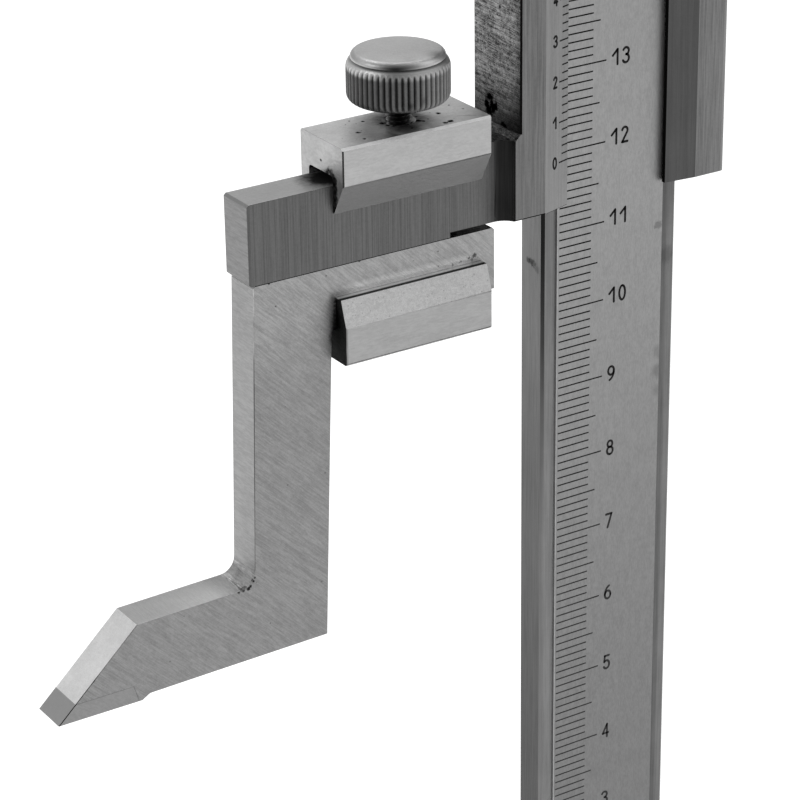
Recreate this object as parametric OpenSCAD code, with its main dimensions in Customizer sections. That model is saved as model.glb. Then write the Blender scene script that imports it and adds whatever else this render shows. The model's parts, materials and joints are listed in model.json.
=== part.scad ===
// Vernier height gauge with a carbide-tipped offset scriber.
// X runs along the arm towards the beam, Y runs away from the reader, Z is up.
// X = 0 is the beam's centre line, Y = 0 is the graduated face, Z = 0 is the table.

/* [Setting] */
// Height shown on the scale, which is the height of the scriber's edge above the table
reading = 119.06; // [0:0.02:300]
// Highest reading of the gauge
reading_max = 300; // [200:10:600]
// Free length of screw between the slider and the fine-feed carriage
feed_gap = 8; // [6:0.5:14]
// Fine travel of the slider each way from its middle position
feed_travel = 3; // [2:0.5:5]

/* [Beam] */
// Width of the beam
beam_w = 19.6; // [18:0.1:24]
// Thickness of the beam, from its edge strips to its back
beam_t = 4.6; // [4:0.1:8]
// Leg of the small chamfer along the beam's edges
beam_edge = 0.35; // [0.2:0.05:0.6]
// Depth of the beam's foot inside the base
foot_depth = 30; // [24:1:32]

/* [Main scale] */
// Width of the graduated strip
scale_w = 15.4; // [12:0.1:16]
// Thickness of the graduated strip
scale_t = 1; // [0.8:0.1:1.4]
// How far the strip stands proud of the beam's edge strips
scale_proud = 0.3; // [0.2:0.05:0.5]
// Sideways offset of the strip from the beam's centre line
scale_shift = -0.2; // [-0.4:0.1:0.4]

/* [Slider] */
// Height of the slider
slider_h = 66; // [64:1:80]
// Thickness of the slider's wall beside the arm
left_wall = 4.25; // [3.5:0.05:6]
// Thickness of the slider's wall that carries the lock screw
right_wall = 4.45; // [4:0.05:6]
// Thickness of the slider's back wall
back_wall = 3.1; // [2.5:0.1:5]
// Height of the front flanges above the graduated face
flange_t = 1.4; // [1.2:0.1:2]
// Width of the bevel that carries the vernier
vernier_bevel = 3.95; // [3:0.05:5]
// Lap of the vernier's edge over the graduated strip
vernier_lap = 1.25; // [1:0.05:2]
// Height of the vernier's zero line above the slider's lower face
vernier_rise = 5.67; // [5:0.01:7]
// Width of the bevel on the plain flange
plain_bevel = 4.2; // [3:0.1:5]
// Lap of the plain flange over the graduated strip
plain_lap = 0.4; // [0.3:0.05:1]
// Air gap between the plain flange and the graduated strip
plain_gap = 0.3; // [0.2:0.05:0.5]
// Height of the plain flange's upright edge above that gap
plain_foot = 0.6; // [0.1:0.05:0.65]
// Leg of the chamfer on the front corner above the arm
side_edge = 0.2; // [0.1:0.05:0.3]
// Height of the bridge that ties the flanges at the top
bridge_h = 9; // [6:0.5:10]
// Clearance of the sliding fits
run = 0.05; // [0.03:0.01:0.1]

/* [Arm] */
// Reach of the arm from the slider's wall
arm_reach = 34.75; // [30:0.05:50]
// Thickness of the arm
arm_t = 5; // [4.5:0.1:6]
// Height of the arm
arm_h = 9.65; // [8:0.05:12]
// Depth of the relief that separates the arm's lower face from the slider
relief_h = 0.6; // [0.4:0.05:1]
// Length of that relief, measured from the root
relief_len = 8.1; // [6:0.1:10]
// Step of the thicker root in front of the slider's raw side
root_step = 0.7; // [0.4:0.1:1]
// Rise of the arm's top beside its root
root_rise = 0.75; // [0.4:0.05:1]
// Radius of the cove between the arm's front and the flange
root_cove = 2.2; // [1.6:0.1:3]

/* [Scriber clamp] */
// Length of the clamp frame along the arm
clamp_len = 19.8; // [16:0.1:24]
// Thickness of the clamp's lips
clamp_lip = 2.15; // [1.8:0.05:3]
// Thickness of the clamp's back
clamp_back_t = 1.7; // [1.5:0.05:3]
// Thickness of the threaded top
clamp_top = 3.8; // [3.5:0.1:6]
// Thickness of the lower jaw
clamp_jaw = 3.85; // [3:0.05:5]
// Free height between the arm's top and the clamp's ceiling
clamp_free = 1.1; // [0.9:0.1:1.5]
// Distance of the clamp from the arm's free end
clamp_place = 11.1; // [6:0.1:12]

/* [Screws] */
// Thread radius of the lock screws and the feed screw
thread_r = 2; // [1.5:0.25:2.5]
// Thread radius of the clamp screw
clamp_thread_r = 1.5; // [1.25:0.25:2]
// Radius of the clamp screw's knurled head
knob_r = 5.9; // [5:0.05:8]
// Height of the knurled band of a head
knob_band = 5; // [4:0.05:7]
// Number of knurls around a head
knurls = 52; // [36:2:60]
// Free height of screw shown under the clamp's head
knob_stand = 2.5; // [2:0.05:4]
// Radius of the lock screws' knurled heads
lock_r = 4.75; // [4:0.05:6]
// Radius of the fine-feed nut
nut_r = 7; // [6:0.1:8]
// Thickness of the fine-feed nut
nut_t = 5; // [4:0.1:6]

/* [Scriber] */
// Thickness of the scriber
scriber_t = 4.9; // [4:0.1:5]
// Drop from the slider's lower face to the scriber's edge
tip_drop = 47.7; // [44:0.01:60]
// Height of the scriber's bar under the arm
bar_h = 7.65; // [6:0.05:9]
// Width of the scriber's leg
leg_w = 10.2; // [8:0.1:12]
// Sideways shift of the leg between its top and its foot
leg_lean = 1.2; // [0:0.05:2]
// How much narrower the leg is at its foot than at its top
leg_taper = 0.4; // [0:0.05:1]
// Height of the scriber's foot
foot_h = 9.2; // [8:0.1:12]
// Reach of the edge beyond the leg's outer side
toe_reach = 25.95; // [22:0.05:30]
// Slope of the toe
toe_angle = 43; // [38:0.5:50]
// Height of the carbide tip
tip_h = 2.1; // [1.5:0.05:2.5]
// Length of the carbide tip along its lower face
tip_len = 10.3; // [8:0.1:12]
// Step from the carbide's lower face up to the foot's underside
heel_step = 0.6; // [0.3:0.05:0.8]
// Angle by which the foot rises towards the leg
foot_tilt = 1; // [0:0.1:2]

/* [Base] */
// Length of the base
base_l = 110; // [100:1:140]
// Width of the base
base_w = 66; // [60:1:90]
// Height of the base's slab
base_h = 22; // [18:1:24]
// Distance from the beam's centre line to the base's front end
base_front = 24; // [22:0.5:30]
// Height of the boss that holds the beam
boss_h = 36; // [34:0.5:37]
// Width of the boss
boss_w = 34; // [32:0.5:35]
// Thickness of the plate that holds the beam against the boss
plate_t = 6; // [5:0.5:8]

/* [Hidden] */
$fn = 64;

steel = [0.62, 0.62, 0.62];
dull = [0.48, 0.48, 0.48];
bronze = [0.72, 0.55, 0.28];
// Clearance of a screw in its hole
fit = 0.05;
// Overshoot of a cut beyond the face it opens
cut = 1;

// Beam and scale
strip_y = scale_proud;
beam_l = -beam_w / 2;
beam_r = beam_w / 2;
beam_back = strip_y + beam_t;
beam_mid = strip_y + beam_t / 2;
scale_l = scale_shift - scale_w / 2;
scale_r = scale_shift + scale_w / 2;
scale_zero = tip_drop + vernier_rise;
beam_foot = boss_h - foot_depth;

// Slider
slider_z = scale_zero + reading - vernier_rise;
slider_top = slider_z + slider_h;
slider_back = beam_back + run + back_wall;
slider_l = beam_l - run - left_wall;
gib_t = 1.2;
gib_play = 0.25;
gib_space = gib_t + run + gib_play;
slider_r = beam_r + gib_space + right_wall;
lug_w = 10;
feed_y = slider_back + nut_r + 0.6;
lug_back = feed_y + 5.4;
lug_h = 12;
gib_inset = 4;
gib_screw_r = 1.5;
gib_screw_rise = 14;
corner_r = 0.8;

// Fine-feed carriage
carriage_z = slider_top + feed_gap;
carriage_h = 16;
carriage_top = carriage_z + carriage_h;
nut_z = carriage_z + (carriage_h - nut_t) / 2;
feed_screw_end = carriage_top + 2 * feed_travel;

// Top of the beam
top_travel = reading_max - reading;
stop_play = 0.5;
stop_z = carriage_top + top_travel - feed_travel + stop_play;
stop_grip = 5;
beam_top = stop_z + stop_grip;
stop_cap = 4;
scale_foot = boss_h + 2;
scale_top = stop_z - 1;

// Arm, clamp and scriber
arm_y = 0.05;
arm_z = slider_z - relief_h;
arm_top = arm_z + arm_h;
root_l = slider_l - root_step;
arm_l = root_l - arm_reach;
clamp_l = arm_l + clamp_place;
clamp_r = clamp_l + clamp_len;
root_len = 3.35;
clamp_x = clamp_l + clamp_len / 2 + 0.5;
clamp_y = arm_y + arm_t / 2;
lip_y = arm_y - run;
lip_front = lip_y - clamp_lip;
clamp_back = arm_y + arm_t + run;
clamp_rear = clamp_back + clamp_back_t;
ceiling_z = arm_top + clamp_free;
clamp_z1 = ceiling_z + clamp_top;
floor_z = arm_z - bar_h - run;
clamp_z0 = floor_z - clamp_jaw;
knob_z = clamp_z1 + knob_stand;
tip_z = slider_z - tip_drop;
bar_r = clamp_r + 1.85;
leg_top_r = clamp_l - 0.6;

// Base
base_l0 = -base_front;
base_y0 = -base_w / 2 + 3;
boss_back = 22;
plate_screw_x = (beam_r + boss_w / 2) / 2;
plate_z0 = base_h + 1;
plate_z1 = boss_h - 1;

// Points on an arc about c, from angle a0 to a1
function arc(c, r, a0, a1, n = 8) =
    [for (i = [0:n]) let (a = a0 + (a1 - a0) * i / n) [c[0] + r * cos(a), c[1] + r * sin(a)]];

// Extrudes an X-Z outline from y0 over a depth in Y
module across(y0, depth) {
    translate([0, y0 + depth, 0])
        rotate([90, 0, 0])
            linear_extrude(depth)
                children();
}

// Extrudes a Y-Z outline from x0 over a length in X
module along(x0, length) {
    translate([x0, 0, 0])
        rotate([90, 0, 90])
            linear_extrude(length)
                children();
}

// Cylinder whose axis runs along +X from the given point
module rod_x(p, r, length) {
    translate(p)
        rotate([0, 90, 0])
            cylinder(r = r, h = length);
}

// Cylinder whose axis runs along +Y from the given point
module rod_y(p, r, length) {
    translate(p)
        rotate([-90, 0, 0])
            cylinder(r = r, h = length);
}

// Straight-knurled band: a toothed outline whose lower rim and shoulder are turned down.
// The turned form stands a little outside the teeth, so only its cones cut them.
module knurled_band(r, h, count, shoulder = 0.7, shoulder_h = 0.7) {
    depth = 0.28;
    rim = 0.7;
    clear = 0.1;
    slope = shoulder / shoulder_h;
    intersection() {
        linear_extrude(h)
            polygon([for (i = [0:2 * count - 1])
                let (a = 180 * i / count, q = r - (i % 2) * depth) [q * cos(a), q * sin(a)]]);
        rotate_extrude()
            polygon([[0, -clear], [r - rim - clear, -clear], [r + clear, rim + clear],
                [r + clear, h - shoulder_h - clear / slope], [r - shoulder - clear * slope, h + clear],
                [0, h + clear]]);
    }
}

// Knurled thumb screw along +Z: a shank below z = 0, and above it a head with a lens-shaped cap
module thumb_screw(shank, shank_r, r, band) {
    shoulder = 0.52;
    shoulder_h = 1.2;
    groove = 0.1;
    cap_r = r - shoulder;
    neck_r = cap_r - 0.15;
    lens_w = 0.9;
    lens_h = 0.75;
    dome = 0.25;
    translate([0, 0, -shank])
        cylinder(r = shank_r, h = shank + 0.5);
    knurled_band(r, band, knurls, shoulder, shoulder_h);
    rotate_extrude()
        polygon(concat(
            [[0, band - 0.5], [neck_r, band - 0.5], [neck_r, band + groove]],
            [for (t = [0:15:90]) [cap_r - lens_w * (1 - cos(t)), band + groove + lens_h * sin(t)]],
            [[0, band + groove + lens_h + dome]]));
}

// Cap screw along +Z with its head's underside at z = 0 and a hexagon socket
module cap_screw(r, shank, head_r, head_h) {
    difference() {
        union() {
            translate([0, 0, -shank])
                cylinder(r = r, h = shank);
            cylinder(r = head_r, h = head_h);
        }
        translate([0, 0, head_h * 0.4])
            cylinder(r = r * 0.9, h = head_h, $fn = 6);
    }
}

// Slotted set screw along +X from the given point
module set_screw_x(p, r, length) {
    difference() {
        rod_x(p, r, length);
        translate([p[0] + length - 0.8, p[1] - r - cut, p[2] - 0.25])
            cube([cut + 0.8, 2 * r + 2 * cut, 0.5]);
    }
}

// Plan outline of the base with rounded corners and a finger hollow on each side
module base_plan() {
    r = 7;
    grip_r = 70;
    grip_in = 3.5;
    difference() {
        union() {
            translate([base_l0 + r, base_y0])
                square([base_l - 2 * r, base_w]);
            translate([base_l0, base_y0 + r])
                square([base_l, base_w - 2 * r]);
            for (x = [base_l0 + r, base_l0 + base_l - r], y = [base_y0 + r, base_y0 + base_w - r])
                translate([x, y])
                    circle(r);
        }
        for (y = [base_y0 - grip_r + grip_in, base_y0 + base_w + grip_r - grip_in])
            translate([base_l0 + base_l * 0.6, y])
                circle(grip_r, $fn = 180);
    }
}

// One side view of the base: a chamfered slab that sweeps up to the boss through coves
module base_profile(lo, hi, boss_lo, boss_hi, cove_lo, cove_hi) {
    edge = 2.5;
    round_r = 2;
    polygon(concat(
        [[lo, 0], [hi, 0], [hi, base_h - edge], [hi - edge, base_h]],
        arc([boss_hi + cove_hi, base_h + cove_hi], cove_hi, 270, 180),
        arc([boss_hi - round_r, boss_h - round_r], round_r, 0, 90, 4),
        arc([boss_lo + round_r, boss_h - round_r], round_r, 90, 180, 4),
        arc([boss_lo - cove_lo, base_h + cove_lo], cove_lo, 360, 270),
        [[lo + edge, base_h], [lo, base_h - edge]]));
}

module base() {
    color(dull)
    difference() {
        intersection() {
            across(base_y0 - cut, base_w + 2 * cut)
                base_profile(base_l0, base_l0 + base_l, -boss_w / 2, boss_w / 2, 3, 9);
            along(base_l0 - cut, base_l + 2 * cut)
                base_profile(base_y0, base_y0 + base_w, strip_y - plate_t - 3, boss_back, 4, 9);
            linear_extrude(boss_h + cut)
                base_plan();
        }
        // Seat for the beam's foot, open to the front
        translate([beam_l - fit, strip_y, beam_foot])
            cube([beam_w + 2 * fit, beam_t + fit, boss_h]);
        // Milled front of the boss, where the retaining plate sits
        translate([-boss_w / 2 - cut, strip_y - plate_t - 3 - cut, plate_z0 - 1])
            cube([boss_w + 2 * cut, plate_t + 3 + cut, boss_h]);
        translate([beam_l - fit, strip_y - plate_t, beam_foot])
            cube([beam_w + 2 * fit, plate_t + cut, plate_z0]);
        for (x = [-plate_screw_x, plate_screw_x])
            rod_y([x, strip_y - cut, plate_mid], plate_screw_r + fit, 13);
        for (x = pin_xs(), z = pin_zs())
            rod_y([x, beam_back - cut, z], pin_r, boss_back);
        // Shallow relief under the slab that leaves a contact land all round
        translate([base_l0 + 42, base_y0 + 13, -cut])
            cube([base_l - 54, base_w - 26, cut + 1]);
    }
}

pin_r = 1.5;
function pin_xs() = [-5, 5];
function pin_zs() = [beam_foot + 7, boss_h - 7];
plate_mid = (plate_z0 + plate_z1) / 2;
plate_screw_r = 2;
plate_head_r = 3;

module retaining_plate() {
    color(steel)
    difference() {
        across(strip_y - plate_t, plate_t)
            polygon([[-boss_w / 2 + 1, plate_z0], [boss_w / 2 - 1, plate_z0],
                [boss_w / 2, plate_z0 + 1], [boss_w / 2, plate_z1 - 1],
                [boss_w / 2 - 1, plate_z1], [-boss_w / 2 + 1, plate_z1],
                [-boss_w / 2, plate_z1 - 1], [-boss_w / 2, plate_z0 + 1]]);
        for (x = [-plate_screw_x, plate_screw_x]) {
            rod_y([x, strip_y - plate_t - cut, plate_mid], plate_screw_r + 2 * fit, plate_t + 2 * cut);
            rod_y([x, strip_y - plate_t - cut, plate_mid], plate_head_r + fit, cut + 3);
        }
    }
}

module plate_screws() {
    color(dull)
    for (x = [-plate_screw_x, plate_screw_x])
        translate([x, strip_y - plate_t + 3, plate_mid])
            rotate([90, 0, 0])
                cap_screw(plate_screw_r, plate_t + 6, plate_head_r, 2.8);
}

module beam_pins() {
    color(dull)
    for (x = pin_xs(), z = pin_zs())
        rod_y([x, beam_back - 3, z], pin_r, 15);
}

stop_screw_r = 1.25;
scale_screw_r = 1;
function scale_screw_zs() = [scale_foot + 3.5, scale_top - 3.5];

module beam() {
    color(steel)
    difference() {
        translate([0, 0, beam_foot])
            linear_extrude(beam_top - beam_foot)
                polygon([[beam_l + beam_edge, strip_y], [beam_r - beam_edge, strip_y],
                    [beam_r, strip_y + beam_edge], [beam_r, beam_back - beam_edge],
                    [beam_r - beam_edge, beam_back], [beam_l + beam_edge, beam_back],
                    [beam_l, beam_back - beam_edge], [beam_l, strip_y + beam_edge]]);
        // Groove that holds the graduated strip
        translate([scale_l, scale_t - cut, scale_foot])
            mirror([0, 1, 0])
                translate([0, -cut, 0])
                    cube([scale_w, scale_t + cut, scale_top - scale_foot]);
        for (z = scale_screw_zs())
            rod_y([scale_shift, 0, z], scale_screw_r + fit, beam_t - 0.5);
        for (x = pin_xs(), z = pin_zs())
            rod_y([x, beam_back - 3, z], pin_r, 4);
        translate([0, beam_mid, beam_top - 10])
            cylinder(r = stop_screw_r + fit, h = 11);
    }
}

module main_scale() {
    color([0.7, 0.7, 0.7])
    difference() {
        translate([scale_l, 0, scale_foot])
            cube([scale_w, scale_t, scale_top - scale_foot]);
        for (z = scale_screw_zs()) {
            rod_y([scale_shift, -cut, z], scale_screw_r + fit, scale_t + 2 * cut);
            rod_y([scale_shift, -cut, z], 1.9, cut + 0.6);
        }
    }
}

module scale_screws() {
    color(dull)
    for (z = scale_screw_zs())
        difference() {
            union() {
                rod_y([scale_shift, 0.6, z], scale_screw_r, 3);
                rod_y([scale_shift, 0.05, z], 1.8, 0.55);
            }
            translate([scale_shift - 2, 0, z - 0.2])
                cube([4, 0.4, 0.4]);
        }
}

// Cap on the beam's end that keeps the slides on
module top_stop() {
    side = 2;
    color(steel)
    difference() {
        intersection() {
            translate([0, 0, stop_z])
                linear_extrude(stop_grip + stop_cap)
                    polygon([[beam_l - side, strip_y - flange_t], [beam_r + side, strip_y - flange_t],
                        [beam_r + side, beam_back + side], [beam_l - side, beam_back + side]]);
            across(-10, 30)
                polygon(concat(
                    [[beam_l - side, stop_z], [beam_r + side, stop_z]],
                    arc([beam_r + side - 3, beam_top + stop_cap - 3], 3, 0, 90, 6),
                    arc([beam_l - side + 3, beam_top + stop_cap - 3], 3, 90, 180, 6)));
        }
        translate([beam_l - fit, strip_y - fit, stop_z - cut])
            cube([beam_w + 2 * fit, beam_t + 2 * fit, stop_grip + cut]);
        translate([0, beam_mid, stop_z])
            cylinder(r = stop_screw_r + fit, h = 20);
    }
}

module stop_screw() {
    color(dull)
    translate([0, beam_mid, beam_top + stop_cap])
        cap_screw(stop_screw_r, stop_cap + 8, 2.3, 1.8);
}

// Section of the slider around the beam: inner outline of the passage for the beam
function passage(gap_r) = [
    [vernier_edge(), -run], [scale_l - run, -run], [scale_l - run, strip_y - run],
    [beam_l - run, strip_y - run], [beam_l - run, beam_back + run], [beam_r + gap_r, beam_back + run],
    [beam_r + gap_r, strip_y - run], [scale_r + run, strip_y - run], [scale_r + run, -plain_gap],
    [scale_r - plain_lap, -plain_gap]];
function vernier_edge() = scale_l + vernier_lap;

// Open section with both bevelled flanges, the one that the window shows
module slider_section(left, gap_r) {
    foot = 0.1;
    plain_edge = scale_r - plain_lap;
    polygon(concat(
        [[left, -flange_t + side_edge], [left + side_edge, -flange_t],
         [vernier_edge() - vernier_bevel, -flange_t], [vernier_edge(), -run - foot]],
        passage(gap_r),
        [[plain_edge, -plain_gap - plain_foot], [plain_edge + plain_bevel, -flange_t]],
        arc([slider_r - corner_r, -flange_t + corner_r], corner_r, 270, 360, 5),
        arc([slider_r - corner_r, slider_back - corner_r], corner_r, 0, 90, 5),
        [[left, slider_back]]));
}

// Closed section, whose front bridges the graduated strip
module closed_section(left, gap_r) {
    difference() {
        polygon(concat(
            [[left, -flange_t + side_edge], [left + side_edge, -flange_t]],
            arc([slider_r - corner_r, -flange_t + corner_r], corner_r, 270, 360, 5),
            arc([slider_r - corner_r, slider_back - corner_r], corner_r, 0, 90, 5),
            [[left, slider_back]]));
        polygon([[scale_l - run, -run], [scale_r + run, -run], [scale_r + run, strip_y - run],
            [beam_r + gap_r, strip_y - run], [beam_r + gap_r, beam_back + run],
            [beam_l - run, beam_back + run], [beam_l - run, strip_y - run],
            [scale_l - run, strip_y - run]]);
    }
}

// Lug behind a slide that carries the feed screw or its nut, rounded at its back
module feed_lug(z0, h) {
    r = 2;
    translate([0, 0, z0])
        linear_extrude(h) {
            translate([-lug_w / 2, slider_back - 0.5])
                square([lug_w, lug_back - slider_back + 0.5 - r]);
            translate([-lug_w / 2 + r, slider_back])
                square([lug_w - 2 * r, lug_back - slider_back]);
            for (x = [-lug_w / 2 + r, lug_w / 2 - r])
                translate([x, lug_back - r])
                    circle(r);
        }
}

// Side view of the arm with its relieved underside
module arm_outline() {
    edge = 0.3;
    inside = slider_l + 1;
    polygon([[arm_l + edge, arm_z], [root_l - relief_len, arm_z], [root_l - relief_len, slider_z],
        [inside, slider_z], [inside, arm_top], [arm_l + edge, arm_top],
        [arm_l, arm_top - edge], [arm_l, arm_z + edge]]);
}

// Arm with the broken back edge of its underside
module arm() {
    edge_y = 1.25;
    edge_z = 0.3;
    back = arm_y + arm_t;
    difference() {
        across(arm_y, arm_t)
            arm_outline();
        along(arm_l - cut, root_l - relief_len - arm_l + cut)
            polygon([[back - 2 * edge_y, arm_z - edge_z], [back + edge_y, arm_z - edge_z],
                [back + edge_y, arm_z + 2 * edge_z]]);
    }
}

// Thicker root: higher than the arm, sloped up to the raw side, and coved out to the flange
module arm_root() {
    inside = slider_l + 1;
    root_z = arm_top + root_rise;
    rise_start = root_l - root_len;
    cove_end = asin((root_cove - arm_y - flange_t) / root_cove);
    cove_x = root_l - root_cove * cos(cove_end);
    intersection() {
        across(-flange_t, slider_back + flange_t)
            polygon([[rise_start, slider_z], [inside, slider_z], [inside, root_z + root_step],
                [slider_l, root_z + root_step], [root_l, root_z], [rise_start + root_rise, root_z],
                [rise_start, arm_top]]);
        translate([0, 0, slider_z - cut])
            linear_extrude(arm_h + 3)
                polygon(concat(
                    [[inside, slider_back], [root_l, slider_back], [root_l, arm_y + arm_t],
                     [rise_start, arm_y + arm_t], [rise_start, arm_y]],
                    arc([cove_x, arm_y - root_cove], root_cove, 90, cove_end, 6),
                    [[inside, -flange_t]]));
    }
}

module slider() {
    low = slider_h - bridge_h;
    gib_z0 = slider_z + gib_inset;
    gib_z1 = slider_top - gib_inset;
    color(steel)
    difference() {
        union() {
            translate([0, 0, slider_z])
                linear_extrude(low)
                    slider_section(slider_l, run);
            translate([0, 0, slider_z + low])
                linear_extrude(bridge_h)
                    closed_section(slider_l, run);
            feed_lug(slider_top - lug_h, lug_h);
            arm();
            arm_root();
        }
        // Pocket of the gib, closed at both ends
        translate([beam_r, strip_y - run + 0.2, gib_z0])
            cube([gib_space, beam_t + 2 * run - 0.4, gib_z1 - gib_z0]);
        for (z = [slider_z + gib_screw_rise, slider_top - gib_screw_rise])
            rod_x([beam_r + 1, beam_mid, z], gib_screw_r + fit, 20);
        rod_x([beam_r + 1, beam_mid, slider_z + slider_h / 2], thread_r + fit, 20);
        translate([0, feed_y, slider_top - lug_h + 2])
            cylinder(r = thread_r + fit, h = lug_h);
        rod_x([-lug_w, feed_y, slider_top - lug_h / 2], 1 + fit, 2 * lug_w);
    }
}

module gib(z0, z1) {
    translate([beam_r + run, strip_y + 0.3, z0 + 0.1])
        cube([gib_t, beam_t - 0.6, z1 - z0 - 0.2]);
}

module slider_gib() {
    color(bronze)
    gib(slider_z + gib_inset, slider_top - gib_inset);
}

module gib_screws() {
    color(dull)
    for (z = [slider_z + gib_screw_rise, slider_top - gib_screw_rise])
        set_screw_x([beam_r + run + gib_t + 0.02, beam_mid, z], gib_screw_r, right_wall - 0.3);
}

module lock_screw(z) {
    stand = 1.5;
    head_x = slider_r + stand;
    translate([head_x, beam_mid, z])
        rotate([0, 90, 0])
            thumb_screw(head_x - beam_r - run - gib_t - 0.02, thread_r, lock_r, knob_band + 1);
}

module slider_lock_screw() {
    color(steel)
    lock_screw(slider_z + slider_h / 2);
}

module feed_screw() {
    foot = slider_top - lug_h + 2;
    color(dull)
    difference() {
        translate([0, feed_y, foot])
            cylinder(r = thread_r, h = feed_screw_end - foot);
        rod_x([-lug_w, feed_y, slider_top - lug_h / 2], 1 + fit, 2 * lug_w);
    }
}

module feed_pin() {
    color(dull)
    rod_x([-lug_w / 2, feed_y, slider_top - lug_h / 2], 1, lug_w);
}

module carriage() {
    gib_z0 = carriage_z + gib_inset / 2;
    gib_z1 = carriage_top - gib_inset / 2;
    color(steel)
    difference() {
        union() {
            translate([0, 0, carriage_z])
                linear_extrude(carriage_h)
                    closed_section(slider_l, run);
            feed_lug(carriage_z, carriage_h);
        }
        translate([beam_r, strip_y - run + 0.2, gib_z0])
            cube([gib_space, beam_t + 2 * run - 0.4, gib_z1 - gib_z0]);
        rod_x([beam_r + 1, beam_mid, carriage_z + carriage_h / 2], thread_r + fit, 20);
        translate([0, feed_y, carriage_z - cut])
            cylinder(r = thread_r + 0.2, h = carriage_h + 2 * cut);
        // Window in which the nut turns
        translate([-lug_w, slider_back + 0.2, nut_z - 0.1])
            cube([2 * lug_w, 2 * lug_w, nut_t + 0.2]);
    }
}

module carriage_gib() {
    color(bronze)
    gib(carriage_z + gib_inset / 2, carriage_top - gib_inset / 2);
}

module carriage_lock_screw() {
    color(steel)
    lock_screw(carriage_z + carriage_h / 2);
}

module feed_nut() {
    color(steel)
    difference() {
        translate([0, feed_y, nut_z])
            knurled_band(nut_r, nut_t, knurls);
        translate([0, feed_y, nut_z - cut])
            cylinder(r = thread_r + fit, h = nut_t + 2 * cut);
    }
}

// Section of the clamp frame: back, threaded top, bevelled upper lip and lower jaw with a stepped lip
module clamp_section() {
    lip_drop = 4.45;
    bevel = 3.75;
    edge = 0.3;
    cove = 0.5;
    jaw_lip = 3.95;
    jaw_land = 1;
    jaw_bevel = 3.15;
    lip_z = ceiling_z - lip_drop;
    polygon(concat(
        [[clamp_rear - edge, clamp_z1], [lip_front + edge, clamp_z1], [lip_front, clamp_z1 - edge],
         [lip_front, lip_z + bevel], [lip_y - 0.1, lip_z], [lip_y, lip_z + 0.1]],
        arc([lip_y + cove, ceiling_z - cove], cove, 180, 90, 4),
        arc([clamp_back - cove, ceiling_z - cove], cove, 90, 0, 4),
        [[clamp_back, floor_z], [lip_y, floor_z], [lip_y, floor_z + jaw_lip],
         [lip_front + jaw_land, floor_z + jaw_lip], [lip_front, floor_z + jaw_lip - jaw_bevel],
         [lip_front, clamp_z0 + edge], [lip_front + edge, clamp_z0], [clamp_rear - edge, clamp_z0],
         [clamp_rear, clamp_z0 + edge], [clamp_rear, clamp_z1 - edge]]));
}

module clamp_frame() {
    sink = 0.4;
    color(steel)
    difference() {
        along(clamp_l, clamp_len)
            clamp_section();
        translate([clamp_x, clamp_y, ceiling_z - cut])
            cylinder(r = clamp_thread_r + fit, h = clamp_top + 2 * cut);
        // Countersink at the mouth of the thread
        translate([clamp_x, clamp_y, clamp_z1 - sink])
            cylinder(r1 = clamp_thread_r + fit, r2 = clamp_thread_r + fit + 2 * sink, h = 2 * sink);
    }
}

module clamp_screw() {
    color(steel)
    translate([clamp_x, clamp_y, knob_z])
        thumb_screw(knob_z - arm_top - 0.03, clamp_thread_r, knob_r, knob_band);
}

// Corner points of the scriber that its outline and its carbide tip share
function leg_share(z) = (floor_z - z) / (floor_z - tip_z);
function leg_out(z) = leg_top_r - leg_w - leg_lean * leg_share(z);
function toe_x() = leg_out(tip_z + foot_h) - toe_reach;
function toe_point(h) = [toe_x() + h / tan(toe_angle), tip_z + h];
tip_end_slope = 0.6;

module scriber_outline() {
    inner = 2;
    neck = 0.3;
    top_z = arm_z - run / 2;
    bar_z = floor_z + run / 2;
    toe_top = foot_h + heel_step;
    foot_top = tip_z + toe_top + tan(foot_tilt) * (toe_reach - toe_top / tan(toe_angle));
    heel_x = toe_x() + tip_len + 1.4;
    under = tip_z + heel_step;
    leg_foot_r = leg_top_r - leg_lean - leg_taper;
    polygon(concat(
        [[leg_out(top_z) + 0.3, top_z], [leg_out(top_z), top_z - 0.3]],
        arc([leg_out(foot_top + inner) - inner, foot_top + inner], inner, 0, -90, 6),
        [toe_point(toe_top), toe_point(tip_h),
         [toe_x() + tip_len - tip_end_slope, tip_z + tip_h], [toe_x() + tip_len, tip_z],
         [toe_x() + tip_len + 0.4, tip_z], [heel_x, under],
         [leg_foot_r, under + tan(foot_tilt) * (leg_foot_r - heel_x)], [leg_top_r, bar_z - neck]],
        arc([leg_top_r + neck, bar_z - neck], neck, 180, 90, 5),
        [[bar_r, bar_z], [bar_r, top_z - 0.3], [bar_r - 0.3, top_z]]));
}

module scriber() {
    color([0.68, 0.68, 0.68])
    across(arm_y, scriber_t)
        scriber_outline();
}

module scriber_tip() {
    color([0.45, 0.45, 0.45])
    across(arm_y, scriber_t)
        polygon([[toe_x(), tip_z], [toe_x() + tip_len, tip_z],
            [toe_x() + tip_len - tip_end_slope, tip_z + tip_h], toe_point(tip_h)]);
}

base();
beam();
main_scale();
scale_screws();
retaining_plate();
plate_screws();
beam_pins();
top_stop();
stop_screw();
slider();
slider_gib();
gib_screws();
slider_lock_screw();
feed_screw();
feed_pin();
carriage();
carriage_gib();
carriage_lock_screw();
feed_nut();
clamp_frame();
clamp_screw();
scriber();
scriber_tip();
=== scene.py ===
# %% [markdown]
# Height gauge, dressed for a photograph
#
# The gauge is a steel beam on a heavy base. A slider runs up the beam and carries a short arm,
# and a screw clamp on the arm holds an offset scriber with a carbide edge. The construction comes
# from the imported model, whose pieces must stay where they are. What is left for Blender is the
# look: broken edges, ground and brushed faces, knurling, threads, graduations and numbers.
# Every length below is in millimetres and is turned into metres once, when a mesh is made.

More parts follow.
